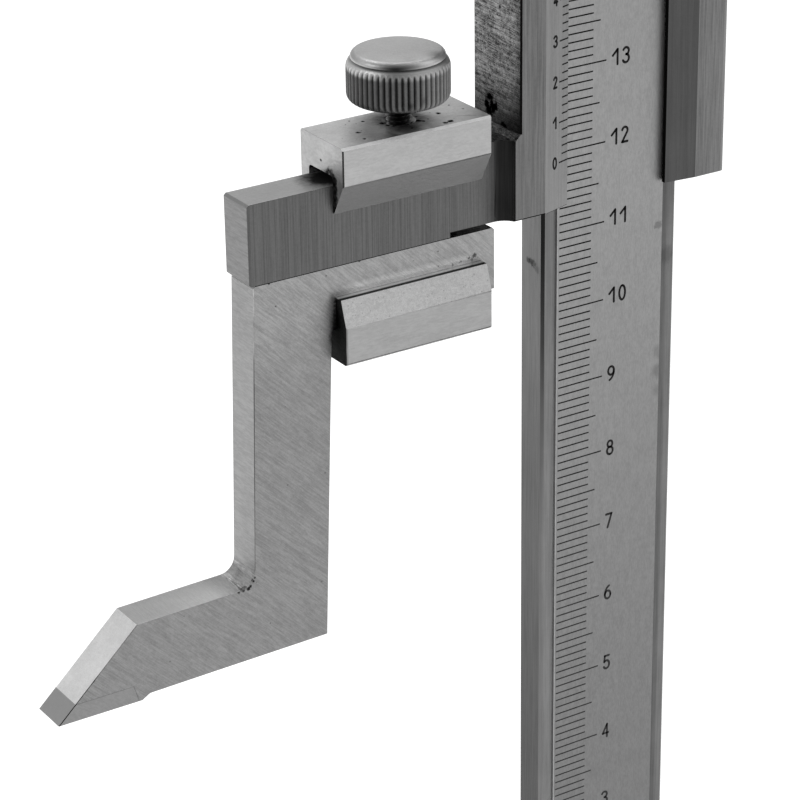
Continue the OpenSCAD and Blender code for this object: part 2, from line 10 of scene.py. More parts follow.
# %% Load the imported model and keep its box
import json
import math
from functools import partial

import bmesh
import bpy
import numpy as np
from mathutils import Matrix, Vector

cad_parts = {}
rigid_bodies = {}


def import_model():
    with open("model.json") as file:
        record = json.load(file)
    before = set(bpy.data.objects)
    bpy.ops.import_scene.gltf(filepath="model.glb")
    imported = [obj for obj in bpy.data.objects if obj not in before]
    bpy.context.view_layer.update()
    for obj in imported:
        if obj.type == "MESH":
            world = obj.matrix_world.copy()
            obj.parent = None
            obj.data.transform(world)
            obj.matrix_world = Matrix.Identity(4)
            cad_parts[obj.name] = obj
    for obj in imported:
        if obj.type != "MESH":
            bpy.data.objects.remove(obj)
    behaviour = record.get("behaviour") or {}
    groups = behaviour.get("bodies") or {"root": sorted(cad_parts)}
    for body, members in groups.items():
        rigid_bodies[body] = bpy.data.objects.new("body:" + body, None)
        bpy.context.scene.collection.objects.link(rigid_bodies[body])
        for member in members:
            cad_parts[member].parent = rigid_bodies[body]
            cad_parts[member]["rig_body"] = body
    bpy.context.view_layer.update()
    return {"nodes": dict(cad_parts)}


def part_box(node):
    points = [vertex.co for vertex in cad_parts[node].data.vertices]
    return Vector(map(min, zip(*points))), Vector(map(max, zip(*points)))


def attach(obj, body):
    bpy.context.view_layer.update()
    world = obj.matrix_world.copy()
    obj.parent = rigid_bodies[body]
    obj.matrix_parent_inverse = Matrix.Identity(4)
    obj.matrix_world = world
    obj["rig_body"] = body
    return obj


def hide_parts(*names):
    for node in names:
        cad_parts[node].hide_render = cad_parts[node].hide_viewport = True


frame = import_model()
MM = 0.001
print("nodes:", len(frame["nodes"]))

# %% [markdown]
# A few sizes are repeated here from the construction, such as the height of the scale's zero mark,
# how far the slider's zero line stands above its lower face, and the planes of the arm and the
# clamp. They tell which face is which when the finishes are given out. The rest is read off the
# boxes of the nodes, so that it follows the model.

# %% Named places on the gauge
scene = bpy.context.scene


def box_mm(node):
    """Lowest corner, highest corner and middle of a node at rest, in millimetres."""
    lo, hi = (np.array(corner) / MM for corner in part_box(node))
    return lo, hi, (lo + hi) / 2


STRIP = box_mm("main_scale")
CLAMP = box_mm("clamp_frame")
KNOB = box_mm("clamp_screw")
SCRIBER = box_mm("scriber")
SCALE_ZERO = 53.37
TIP_DROP, VERNIER_RISE, ARM_RISE, LAND_RISE = 47.7, 5.67, 9.05, 7.8
TIP_X, TIP_Z = SCRIBER[0][0], SCRIBER[0][2]
SLIDER_Z = TIP_Z + TIP_DROP
VERNIER_ZERO = SLIDER_Z + VERNIER_RISE
FLANGE_X, FLANGE_Y = 11, -1.4
VERNIER_EDGE = STRIP[0][0] + 1.25
VERNIER_BEVEL, VERNIER_LIP = 3.95, 0.15
ROOT_X, SIDE_X = -14.8, -14.1
ARM_END_X, ARM_FRONT_Y, ARM_MIDDLE_Y = -49.2, 0.05, 2.5
ARM_TOP_Z = SLIDER_Z + ARM_RISE
BAR_TOP_Z = SLIDER_Z - 1.2
LEG_X, LEG_FOOT_Z = -47, TIP_Z + 11
CLAMP_X, CLAMP_Z = CLAMP[0][0], CLAMP[0][2]
CLAMP_RIGHT_X, CLAMP_TOP_Z = CLAMP[1][0], CLAMP[1][2]
CLAMP_FACE_Y, CLAMP_MIDDLE_Z = -2.15, ARM_TOP_Z - 4
LAND_Z = CLAMP_Z + LAND_RISE
print("scriber's edge above the table:", round(TIP_Z, 2), "mm")

# %% [markdown]
# The photograph was taken with a long lens from the left of the scale, looking down a little.
# The direction, the distance and the lens were found by fitting the scale's known marks to their
# places in the picture, and here they only have to be written down.

# %% Camera at the photograph's place
CAMERA_AT = Vector((-0.20573, -0.27721, 0.29607))
CAMERA_AZIMUTH = 32.36
CAMERA_ELEVATION = 24.34
CAMERA_ROLL = -0.87
FOCAL_PIXELS = 3108.5
PICTURE_PIXELS = 800
SENSOR_MM = 36.0


def look(azimuth, elevation, roll):
    """Rotation whose -Z looks along an azimuth from +Y and down by an elevation, then rolled."""
    a, e, r = (math.radians(v) for v in (azimuth, elevation, roll))
    forward = Vector((math.sin(a) * math.cos(e), math.cos(a) * math.cos(e), -math.sin(e)))
    right = forward.cross(Vector((0, 0, 1))).normalized()
    up = right.cross(forward)
    rolled_right = right * math.cos(r) + up * math.sin(r)
    rolled_up = up * math.cos(r) - right * math.sin(r)
    return Matrix((rolled_right, rolled_up, -forward)).transposed().to_4x4()


camera_data = bpy.data.cameras.new("photo_lens")
camera_data.sensor_width = SENSOR_MM
camera_data.lens = FOCAL_PIXELS * SENSOR_MM / PICTURE_PIXELS
camera_data.clip_start = 0.02
camera = bpy.data.objects.new("photo_camera", camera_data)
camera.matrix_world = Matrix.Translation(CAMERA_AT) @ look(CAMERA_AZIMUTH, CAMERA_ELEVATION, CAMERA_ROLL)
scene.collection.objects.link(camera)
scene.camera = camera
print("lens:", round(camera_data.lens, 2), "mm")

# %% [markdown]
# A finish is a material made of a few masks: fine streaks left by a grinding wheel or a brush,
# soft smudges, small pits and single marks. Each mask is a node group, built once, and every
# material places it with its own values. The groups give out only numbers that change over the
# surface. The shader itself stays in each material.

# %% Small helpers for node trees
def feed(tree, slot, value):
    """Gives a node's input its value: a link from another socket, or a plain number."""
    if isinstance(value, bpy.types.NodeSocket):
        tree.links.new(value, slot)
    else:
        slot.default_value = value


def math_node(operation, tree, a, b=None, clamp=False):
    """A Math node. Its inputs are numbers or sockets, and its output socket is returned."""
    node = tree.nodes.new("ShaderNodeMath")
    node.operation = operation
    node.use_clamp = clamp
    feed(tree, node.inputs[0], a)
    if b is not None:
        feed(tree, node.inputs[1], b)
    return node.outputs[0]


plus, minus, times = (partial(math_node, kind) for kind in ("ADD", "SUBTRACT", "MULTIPLY"))


def noise(tree, vector, scale, detail=2.0, rough=0.5):
    """A noise value from 0 to 1 over the given coordinates."""
    node = tree.nodes.new("ShaderNodeTexNoise")
    for name, value in (("Vector", vector), ("Scale", scale), ("Detail", detail), ("Roughness", rough)):
        feed(tree, node.inputs[name], value)
    return node.outputs[0]


def ramp(tree, value, low, high, to_low=0.0, to_high=1.0):
    """Maps a value from low..high to to_low..to_high, smoothly and clamped."""
    node = tree.nodes.new("ShaderNodeMapRange")
    node.interpolation_type = "SMOOTHSTEP"
    for name, number in (("Value", value), ("From Min", low), ("From Max", high), ("To Min", to_low),
                         ("To Max", to_high)):
        feed(tree, node.inputs[name], number)
    return node.outputs[0]


def start_mask(name, numbers, points=()):
    """A new node group with coordinates, plain numbers and points as inputs, and a mask as output.

    Returns the group, its inputs as sockets to read, and the socket that takes the mask.
    """
    group = bpy.data.node_groups.new(name, "ShaderNodeTree")
    for label in ("Vector", *points):
        group.interface.new_socket(name=label, in_out="INPUT", socket_type="NodeSocketVector")
    for label, value in numbers.items():
        made = group.interface.new_socket(name=label, in_out="INPUT", socket_type="NodeSocketFloat")
        made.default_value = value
    group.interface.new_socket(name="Mask", in_out="OUTPUT", socket_type="NodeSocketFloat")
    source = group.nodes.new("NodeGroupInput")
    sink = group.nodes.new("NodeGroupOutput")
    return group, source.outputs, sink.inputs["Mask"]


# %% Mask: streaks of a grinding wheel or a brush
SOFT_LOW, SOFT_HIGH = 0.32, 0.68
BROAD_LINES = 0.28


def make_streaks():
    """Noise squeezed along X: hair-fine lines across, long runs along, with a little broad unevenness."""
    group, given, mask = start_mask("streaks", {"Lines per metre": 4000.0, "Squeeze": 0.03, "Broad": 0.3})
    split = group.nodes.new("ShaderNodeSeparateXYZ")
    join = group.nodes.new("ShaderNodeCombineXYZ")
    group.links.new(given["Vector"], split.inputs[0])
    group.links.new(times(group, split.outputs["X"], given["Squeeze"]), join.inputs["X"])
    for axis in "YZ":
        group.links.new(split.outputs[axis], join.inputs[axis])
    lines, share = given["Lines per metre"], given["Broad"]
    fine = noise(group, join.outputs[0], lines, 3.0, 0.7)
    broad = noise(group, join.outputs[0], times(group, lines, BROAD_LINES))
    total = plus(group, times(group, fine, minus(group, 1.0, share)), times(group, broad, share))
    group.links.new(ramp(group, total, SOFT_LOW, SOFT_HIGH), mask)
    return group


# %% Mask: soft smudges of handling and oil
def make_smudge():
    """Broad cloudy noise with a little fine break-up, from 0 to 1."""
    group, given, mask = start_mask("smudge", {"Size": 90.0})
    cloud = noise(group, given["Vector"], given["Size"], 5.0, 0.6)
    group.links.new(ramp(group, cloud, SOFT_LOW, SOFT_HIGH), mask)
    return group


# %% Mask: small pits
def make_pits():
    """Cells of a Voronoi pattern: a dot in the middle of those cells whose noise is high enough."""
    group, given, mask = start_mask("pits", {"Cells per metre": 900.0, "Dot": 0.25, "Share": 0.2})
    cells = group.nodes.new("ShaderNodeTexVoronoi")
    group.links.new(given["Vector"], cells.inputs["Vector"])
    group.links.new(given["Cells per metre"], cells.inputs["Scale"])
    pick = group.nodes.new("ShaderNodeSeparateColor")
    group.links.new(cells.outputs["Color"], pick.inputs[0])
    chosen = math_node("LESS_THAN", group, pick.outputs[0], given["Share"])
    size = times(group, given["Dot"], plus(group, 0.4, pick.outputs[1]))
    dot = ramp(group, cells.outputs["Distance"], times(group, size, 0.55), size, 1.0, 0.0)
    group.links.new(times(group, dot, chosen), mask)
    return group


# %% Mask: one mark at a known place
def make_mark():
    """A ragged blot: 1 inside a radius round a centre, where noise shifts the measured distance."""
    group, given, mask = start_mask("mark", {"Radius": 0.001, "Ragged": 1.0}, ["Centre"])
    gap = group.nodes.new("ShaderNodeVectorMath")
    gap.operation = "DISTANCE"
    group.links.new(given["Vector"], gap.inputs[0])
    group.links.new(given["Centre"], gap.inputs[1])
    rough_edge = minus(group, noise(group, given["Vector"], 1400.0, 4.0, 0.65), 0.5)
    shift = times(group, rough_edge, times(group, given["Radius"], given["Ragged"]))
    reach = plus(group, gap.outputs["Value"], times(group, shift, 3.0))
    inner = times(group, given["Radius"], 0.35)
    group.links.new(ramp(group, reach, inner, given["Radius"], 1.0, 0.0), mask)
    return group


STREAKS, SMUDGE, PITS, MARK = make_streaks(), make_smudge(), make_pits(), make_mark()
print("masks:", [g.name for g in (STREAKS, SMUDGE, PITS, MARK)])


# %% [markdown]
# All of the gauge is steel, yet no two faces look alike: the arm is brushed across its length, the
# scriber is ground on a slant, the scale is satin chrome and the slider's side was left as it came
# off the cutter. The greys also carry painted light and shade: a face that looks up or towards the
# light gets a lighter grey than a face of the same steel that looks down or away. One function
# therefore writes every finish from plain words: how light it is, the direction and fineness of its
# strokes, how rough it is, and how much pitting and smudging it has.

# %% One function for every metal finish
def linear(grey):
    """An 8-bit grey, as it looks in a picture, turned to a linear value."""
    v = grey / 255.0
    return v / 12.92 if v <= 0.04045 else ((v + 0.055) / 1.055) ** 2.4


ALONG_X = (0.0, 0.0, 0.0)
ALONG_Y = (0.0, 0.0, math.radians(-90))
ALONG_Z = (0.0, math.radians(90), 0.0)
SIDEWAYS = (math.radians(-2.5), 0.0, math.radians(90))
SLANT = (0.0, math.radians(-44.5), 0.0)
GRAINS, GRAIN_BROAD = 7500.0, 0.35
ROUGH_SPREAD, HOLE_DEPTH = 0.06, 3.0
FINISH = {}


def place_group(tree, group, vector, values):
    """Puts a mask group into a material, fed by coordinates, with its own plain values."""
    node = tree.nodes.new("ShaderNodeGroup")
    node.node_tree = group
    tree.links.new(vector, node.inputs["Vector"])
    for name, value in values.items():
        node.inputs[name].default_value = value
    return node.outputs[0]


def split_axes(tree, vector):
    """The X, Y and Z of coordinates, as sockets."""
    split = tree.nodes.new("ShaderNodeSeparateXYZ")
    tree.links.new(vector, split.inputs[0])
    return split.outputs


def faded(tree, place, fades):
    """Product of plain slopes: along X, Y or Z from one place to another, light falls by an amount.

    A slope may name more slopes, as its sides. It then reaches only as far as all of them are past
    their starts. A negative amount makes the light rise.
    """
    axes = split_axes(tree, place)
    total = None
    for axis, start, end, amount, *sides in fades:
        share = ramp(tree, axes[axis], start * MM, end * MM)
        for side, side_start, side_end in sides:
            share = times(tree, share, ramp(tree, axes[side], side_start * MM, side_end * MM))
        part = minus(tree, 1.0, times(tree, share, amount))
        total = part if total is None else times(tree, total, part)
    return total


def finish(name, grey, strokes=ALONG_Z, lines=4000.0, squeeze=0.03, streak=0.12, smudge=0.05,
           smudge_size=90.0, rough=0.4, bump=0.01, broad=0.3, grain=0.0, metal=1.0, gloss=0.0,
           shaded=False, pits=(), fades=(), marks=()):
    """Adds a metal finish: a grey made lighter and darker by streaks, smudges and grain.

    Pits (strength, cells per metre and share of cells) and marks (X, Y, Z, radius, depth and
    raggedness) darken it at places and turn it from metal to a dark coat; some of the marks are
    painted shadows. Fades darken it slowly along an axis, many of them as painted shade, and a negative
    amount lightens it, in places as painted light. A shaded finish also reads the piece's own attribute
    "shade", from 0 for untouched to 1 for black, which carries painted shade and highlights as well.
    Gloss is the shine of what isn't metal.
    """
    material = bpy.data.materials.new(name)
    material.use_nodes = True
    tree = material.node_tree
    shader = tree.nodes["Principled BSDF"]
    shader.inputs["Metallic"].default_value = metal
    shader.inputs["Specular IOR Level"].default_value = gloss
    place = tree.nodes.new("ShaderNodeTexCoord").outputs["Object"]
    turned_place = tree.nodes.new("ShaderNodeMapping")
    turned_place.inputs["Rotation"].default_value = strokes
    tree.links.new(place, turned_place.inputs["Vector"])
    lay = place_group(tree, STREAKS, turned_place.outputs[0],
                      {"Lines per metre": lines, "Squeeze": squeeze, "Broad": broad})
    cloud = place_group(tree, SMUDGE, place, {"Size": smudge_size})
    light = plus(tree, 1.0 - streak - smudge,
                 plus(tree, times(tree, lay, 2 * streak), times(tree, cloud, 2 * smudge)))
    if grain:
        dust = place_group(tree, STREAKS, place,
                           {"Lines per metre": GRAINS, "Squeeze": 1.0, "Broad": GRAIN_BROAD})
        light = plus(tree, light, times(tree, minus(tree, dust, 0.5), 2 * grain))
    holes = []
    if pits:
        strength, cells, share = pits
        dots = place_group(tree, PITS, place, {"Cells per metre": cells, "Share": share})
        holes.append(times(tree, dots, strength))
    for *centre, radius, depth, ragged in marks:
        blot = place_group(tree, MARK, place,
                           {"Centre": Vector(centre) * MM, "Radius": radius * MM, "Ragged": ragged})
        holes.append(times(tree, blot, depth))
    if holes:
        clean = minus(tree, 1.0, holes[0])
        for hole in holes[1:]:
            clean = times(tree, clean, minus(tree, 1.0, hole))
        light = times(tree, light, clean)
        tree.links.new(times(tree, clean, metal), shader.inputs["Metallic"])
    if shaded:
        own = tree.nodes.new("ShaderNodeAttribute")
        own.attribute_name = "shade"
        light = times(tree, light, minus(tree, 1.0, own.outputs["Fac"]))
    if fades:
        light = times(tree, light, faded(tree, place, fades))
    value = times(tree, light, linear(grey), clamp=True)
    colour = tree.nodes.new("ShaderNodeCombineColor")
    for channel in range(3):
        tree.links.new(value, colour.inputs[channel])
    tree.links.new(colour.outputs[0], shader.inputs["Base Color"])
    tree.links.new(ramp(tree, lay, 0.0, 1.0, rough + ROUGH_SPREAD, rough - ROUGH_SPREAD),
                   shader.inputs["Roughness"])
    height = lay
    for hole in holes:
        height = minus(tree, height, times(tree, hole, HOLE_DEPTH))
    relief = tree.nodes.new("ShaderNodeBump")
    relief.inputs["Distance"].default_value = bump * MM
    tree.links.new(height, relief.inputs["Height"])
    tree.links.new(relief.outputs[0], shader.inputs["Normal"])
    FINISH[name] = material


# %% Finishes of the slider, its arm and the beam
RAW_MARKS = [(SIDE_X, y, SLIDER_Z + z, r, 1.0, ragged) for y, z, r, ragged in (
    (5.1, 13.2, 0.9, 0.6), (4.15, 12.2, 0.8, 0.6), (5.5, 12.4, 0.7, 0.7), (4.6, 13.3, 0.6, 0.7),
    (4.9, 11.6, 0.9, 0.6), (4.4, 12.8, 0.6, 0.7), (3.6, 12.6, 0.7, 1.0), (4.8, 25.6, 0.4, 0.6),
    (2.9, 24.6, 0.35, 0.8), (2.0, 10.4, 0.8, 0.9))]
# Painted shade: the arm's front and the cove darken towards the corner at the arm's root.
ROOT_SHADE = ("X", ROOT_X - 4.1, ROOT_X - 1.7, 0.5)
# Each call gives the name, the grey, the strokes' direction, lines per metre and squeeze, how strong
# the streaks and the smudges are and, where they differ from the usual ones, the smudges' size, the
# roughness and the height of the relief.
# The arm's top is painted lighter than its brushed front, partly for its ground finish and partly as painted
# light from above.
finish("arm_brushed", 97, ALONG_Z, 8500, 0.009, 0.15, 0.03, broad=0.16, grain=0.07,
       fades=[ROOT_SHADE])
# The broad mark on the arm's top is a painted shadow where the arm runs in under the clamp's top.
finish("arm_top", 166, ALONG_X, 5200, 0.15, 0.04, 0.05, grain=0.05,
       marks=[(-37.6, 2.6, ARM_TOP_Z, 4.4, 0.97, 0.12)])
finish("arm_end", 130, ALONG_Y, 5200, 0.1, 0.08, 0.05, grain=0.05)
# The vernier's bevel is painted lighter than the plate and the flange's bevel darker than the flange's front,
# as painted light and shade by which way each one faces.
finish("plate_brushed", 111, ALONG_Z, 7500, 0.02, 0.16, 0.04, broad=0.16, grain=0.06)
finish("vernier_satin", 134, ALONG_Z, 6000, 0.02, 0.03, 0.03, grain=0.03)
finish("flange_bevel", 82, ALONG_Z, 5000, 0.02, 0.05, 0.04, grain=0.04)
finish("flange_front", 124, ALONG_Z, 6500, 0.01, 0.08, 0.03, broad=0.15, grain=0.03)
# The raw side is painted darker down towards the arm, as shade in that corner, and darker towards its front
# edge.
finish("raw_side", 121, SIDEWAYS, 7500, 0.05, 0.6, 0.25, 260, 0.5, 0.03, broad=0.25, grain=0.9,
       pits=(0.85, 2100, 0.28),
       fades=[("Z", SLIDER_Z + 26, SLIDER_Z + 14, 0.22), ("Z", SLIDER_Z + 17, SLIDER_Z + 10.5, 0.8),
              ("Y", 0.2, -1.3, 0.45)], marks=RAW_MARKS)
finish("root_slope", 72, SIDEWAYS, 5200, 0.25, 0.8, 0.5, 700, 0.5, 0.03, grain=1.2, pits=(0.9, 2400, 0.35))
# The cove is painted darker still close to the root, as shade in that corner.
finish("root_cove", 97, ALONG_Z, 6500, 0.012, 0.16, 0.1, 200, broad=0.3,
       fades=[ROOT_SHADE, ("X", ROOT_X - 2.5, ROOT_X - 1.3, 0.74)])
# Near black and not metal: the flange's foot face, down in the gap under the flange, painted as the gap's
# shade.
finish("dirt", 14, ALONG_Z, 2600, 0.05, 0.12, 0.1, metal=0.0)
finish("plain_ground", 122, ALONG_Z, 6000, 0.02, 0.1, 0.05, broad=0.2, grain=0.03)
# A near-black band, not metal; at the plate's lower corner and at the scriber's top corner under the arm it
# is a painted shadow line.
finish("dark_break", 20, ALONG_Z, 2600, 0.1, 0.2, 0.2, 400, metal=0.0)
finish("grey_break", 78, ALONG_Z, 2600, 0.1, 0.3, 0.3, 500, fades=[("Z", 154.5, 163, -4.0)])
# The beam's right chamfer is painted bright as a highlight, brighter still lower down.
finish("worn_chamfer", 158, ALONG_Z, 2400, 0.02, 0.1, 0.1, fades=[("Z", 150, 95, -0.6)])
finish("soft_break", 48, ALONG_Z, 2600, 0.1, 0.2, 0.2, 500)
# A painted highlight: the near-white band given to the clamp's top front chamfer.
finish("bright_break", 236, ALONG_X, 2500, 0.5, 0.05, 0.05, 300)
# The beam's wall and the scale are painted darker lower down, and the front strip and the strip beside the
# scale darker up towards the slider, as painted shade; the strip beside the scale is also painted darker into
# its corner by the scale.
finish("beam_wall", 113, ALONG_Z, 5200, 0.02, 0.07, 0.05, 60, broad=0.2, grain=0.03,
       fades=[("Z", 163, 128, 0.36), ("Z", 128, 90, 0.3)],
       marks=[(-9.8, 3.2, 159.45, 0.5, 0.45, 0.9), (-9.8, 2.6, 159.45, 0.6, 0.45, 0.9),
              (-9.8, 2.0, 159.3, 0.6, 0.35, 0.9), (-9.8, 1.4, 158.9, 0.7, 0.25, 0.6)])
finish("beam_face", 121, ALONG_Z, 5200, 0.02, 0.07, 0.06, broad=0.2, grain=0.03,
       fades=[("Z", 150, 165, 0.16)])
finish("beam_valley", 114, ALONG_Z, 5200, 0.02, 0.07, 0.08, 120, broad=0.2, grain=0.03,
       fades=[("X", 8.75, 8.2, 0.28), ("Z", 158, 165.5, 0.2)], marks=[(8.4, 0.3, 157.0, 1.6, 0.2, 0.3)])
finish("beam_chamfer", 114, ALONG_Z, 2400, 0.02, 0.08, 0.08, fades=[("Z", 118, 165, 0.92)])
finish("scale_chrome", 156, ALONG_Z, 5200, 0.3, 0.03, 0.015, 50, 0.5, 0.003, grain=0.03,
       fades=[("Z", 185, 85, 0.33)],
       marks=[(6.9, 0, 161.2, 0.7, 0.3, 0.9), (7.4, 0, 142.0, 1.3, 0.2, 0.3),
              (7.5, 0, 144.5, 1.2, 0.15, 0.3), (7.5, 0, 139.5, 1.2, 0.15, 0.3)])
finish("scale_side", 165, ALONG_Z, 5200, 0.3, 0.05, 0.05, 400)
finish("arm_corner", 152, ALONG_Y, 5200, 0.15, 0.04, 0.05, grain=0.05)

# %% Finishes of the clamp, the scriber and the rest
CLAMP_PITS = [(x, y, CLAMP_TOP_Z, r, 1.0, 0.6) for x, y, r in (
    (-31.64, 4.42, 0.3), (-32.84, 5.46, 0.2), (-34.04, 1.5, 0.38), (-23.14, 1.89, 0.4), (-34.6, -0.6, 0.3),
    (-23.45, -1.11, 0.5), (-25.19, 0.94, 0.2), (-28.32, -0.58, 0.2), (-24.3, -1.2, 0.4), (-20.6, 3.6, 0.2),
    (-20.0, 1.6, 0.2), (-30.25, 2.7, 0.4), (-30.0, 1.7, 0.35), (-29.6, 1.1, 0.4), (-26.4, 1.1, 0.5),
    (-25.9, 2.4, 0.3), (-26.0, 0.6, 0.3))]
FRONT_MARKS = [(x, ARM_FRONT_Y, z, r, depth, ragged) for x, z, r, depth, ragged in (
    [(CLAMP_X - 0.02 * i, 161.9 - 0.5 * i, 0.3 + 0.07 * i, 0.9, 0.25) for i in range(10)]
    + [(-51.67, 129.16, 0.28, 0.8, 1.2), (-51.1, 129.15, 0.28, 0.9, 1.1), (-50.73, 129.36, 0.26, 0.9, 1.1),
       (-50.42, 129.95, 0.24, 0.9, 1.1), (-50.22, 130.3, 0.2, 0.8, 1.1), (-52.4, 129.06, 0.26, 0.75, 1.2),
       (-71.48, 123.41, 0.26, 0.95, 0.7), (-73.08, 122.61, 0.3, 0.85, 0.9), (-49.45, 165.95, 0.28, 0.9, 0.6),
       (-47.0, 166.1, 0.16, 0.8, 0.9), (-35.2, 166.15, 0.18, 0.85, 0.9), (-20.4, 163.1, 0.24, 0.6, 1.7),
       (-21.4, 162.85, 0.2, 0.5, 1.7), (-19.6, 163.2, 0.3, 0.65, 1.7), (-22.6, 162.7, 0.18, 0.5, 1.7),
       (-20.0, 162.7, 0.3, 0.6, 1.7)])]
# Painted shade: the clamp's end is darkened beside the arm's front.
LIP_END = [(CLAMP_X, -0.35, z, 1.05, 0.96, 0.25) for z in (172.6, 173.6, 174.6, 175.6, 176.4)]
# The two broad marks round the screw on the clamp's top are a painted shadow and reflection of the knob's
# head; the small ones are pits.
finish("clamp_top", 200, ALONG_X, 3600, 0.5, 0.05, 0.08, 160, 0.42, 0.01, grain=0.08,
       pits=(0.7, 2600, 0.09), fades=[("X", -31, -23, 0.16)],
       marks=CLAMP_PITS + [(-28.05, 2.55, CLAMP_TOP_Z, 4.6, 0.72, 0.12),
                           (-29.0, -0.6, CLAMP_TOP_Z, 2.5, 0.8, 0.1)])
# The upper lip's bevel, facing down, is painted darker and the lower lip's bevel, facing up, lighter than the
# fronts, as painted shade and light.
finish("clamp_front", 175, ALONG_X, 4600, 0.3, 0.025, 0.02, grain=0.035)
finish("clamp_under", 129, ALONG_X, 4600, 0.3, 0.02, 0.02, grain=0.03)
finish("clamp_lip", 213, ALONG_X, 3600, 0.6, 0.04, 0.03, 200, grain=0.14, pits=(0.35, 3000, 0.3))
finish("lip_land", 235, SLANT, 4600, 0.15, 0.06, 0.03, grain=0.05, fades=[("Y", -0.5, -0.64, 0.99)])
finish("clamp_jaw", 161, ALONG_X, 4600, 0.2, 0.03, 0.02, grain=0.035)
# The clamp's end is painted near black below the arm, on the lower lip, as shade.
finish("clamp_end", 172, ALONG_Y, 3600, 0.5, 0.04, 0.06, 200, grain=0.05, fades=[("Z", 166, 164, 0.985)],
       marks=[(CLAMP_X, 2.4, 178.1, 0.25, 0.9, 0.9), (CLAMP_X, 0.3, 177.0, 0.9, 0.9, 0.6),
              (CLAMP_X, 1.2, 176.9, 0.6, 0.9, 0.6)] + LIP_END)
finish("clamp_plain", 165, ALONG_X, 2800, 0.2, 0.06, 0.06, grain=0.03)
finish("jaw_corner", 128, ALONG_Z, 2800, 0.2, 0.1, 0.1)
# A band of the scriber's face just above the lower lip, between the clamp's ends, is lightened as painted
# light.
finish("scriber_front", 152, SLANT, 6800, 0.07, 0.11, 0.03, 240, broad=0.25, grain=0.1,
       pits=(0.5, 2400, 0.03),
       fades=[("Z", 166, 150, 0.2),
              ("Z", LAND_Z + 1.5, LAND_Z + 0.05, -1.5, ("Z", LAND_Z - 0.2, LAND_Z - 0.1),
               ("X", CLAMP_X - 0.4, CLAMP_X + 3.5), ("X", CLAMP_RIGHT_X + 0.1, CLAMP_RIGHT_X - 3.0))],
       marks=FRONT_MARKS)
finish("leg_side", 146, ALONG_Y, 5200, 0.15, 0.06, 0.05, 160, grain=0.05)
finish("foot_top", 165, ALONG_Y, 5200, 0.15, 0.06, 0.04, 160, grain=0.05, fades=[("X", -55.5, -52.5, 0.22)])
# The toe's upward slope is painted brightest, as light falling on it from above.
finish("scriber_toe", 244, ALONG_Y, 5200, 0.15, 0.06, 0.06, 240, grain=0.07, fades=[("Z", 124, 130, 0.1)])
finish("toe_edge", 120, ALONG_X, 3400, 0.25, 0.1, 0.1, fades=[("Z", 124.3, 123.6, 0.95)],
       marks=[(-71.48, 0.1, 123.41, 0.35, 0.95, 0.6), (-73.1, 0.1, 121.8, 0.3, 0.9, 0.9)])
finish("scuffed", 160, ALONG_Y, 4600, 0.1, 0.3, 0.16, 500, 0.4, 0.02, grain=0.15, pits=(0.7, 2600, 0.12),
       marks=[(-50.95, 0.6, 130.5, 0.35, 0.7, 0.9), (-50.6, 0.2, 130.1, 0.3, 0.9, 0.9),
              (-51.6, 0.4, 129.3, 0.5, 0.6, 0.9), (-50.6, 0.9, 131.3, 0.8, 0.35, 0.5)])
finish("under_arm", 170, ALONG_Y, 5200, 0.15, 0.06, 0.04, grain=0.05, metal=0.0, gloss=0.2,
       fades=[("X", -24.0, -22.6, 0.985)])
finish("carbide_face", 139, SLANT, 6500, 0.3, 0.03, 0.02, grain=0.03)
finish("carbide_end", 171, ALONG_Y, 5200, 0.2, 0.02, 0.02, grain=0.03)
finish("joint_line", 112, ALONG_X, 3400, 0.25, 0.1, 0.1)
finish("base_ground", 150, ALONG_X, 4200, 0.03, 0.08, 0.05, grain=0.03)
finish("knob_turned", 184, ALONG_X, 3400, 0.8, 0.03, 0.04, 200, grain=0.04, shaded=True)
finish("thread_steel", 120, ALONG_X, 3000, 0.6, 0.08, 0.08, shaded=True)
finish("screw_turned", 95, ALONG_X, 3000, 0.6, 0.08, 0.08, grain=0.03)
finish("gib_rolled", 130, ALONG_Z, 3000, 0.05, 0.1, 0.08)
finish("black_fill", 12, ALONG_X, 3000, 0.5, 0.1, 0.1, rough=0.7, metal=0.0, gloss=0.2,
       fades=[("Z", 158, 105, -12.0)])
print("finishes:", len(FINISH))

# %% [markdown]
# A machined corner is never a knife edge. It is broken with a stone, and that thin band catches
# the light and shows where a piece ends. The imported pieces have their true sharp corners, so each
# visible one is copied, its doubled points are merged, and a bevel is put on its longer corners.
# Some bands are painted bright as highlights and some dark, several of them as painted shadow
# lines, so each band gets its finish from where it lies.
# The copy then stands for the imported piece.

# %% Copy a node and break its corners
SMOOTH_TURN, FACET_WIDTH = 25, 1.2


def body_of_node(node):
    """Name of the body that a node rides on."""
    parent = frame["nodes"][node].parent
    return parent["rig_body"] if "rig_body" in parent else parent.name.split(":", 1)[1]


def paint(mesh, faces, choose):
    """Gives each face its finish from choose(normal, centre in mm), adding slots as they are needed."""
    for face in faces:
        material = FINISH[choose(face.normal, face.center / MM)]
        if material.name not in mesh.materials:
            mesh.materials.append(material)
        face.material_index = mesh.materials.find(material.name)


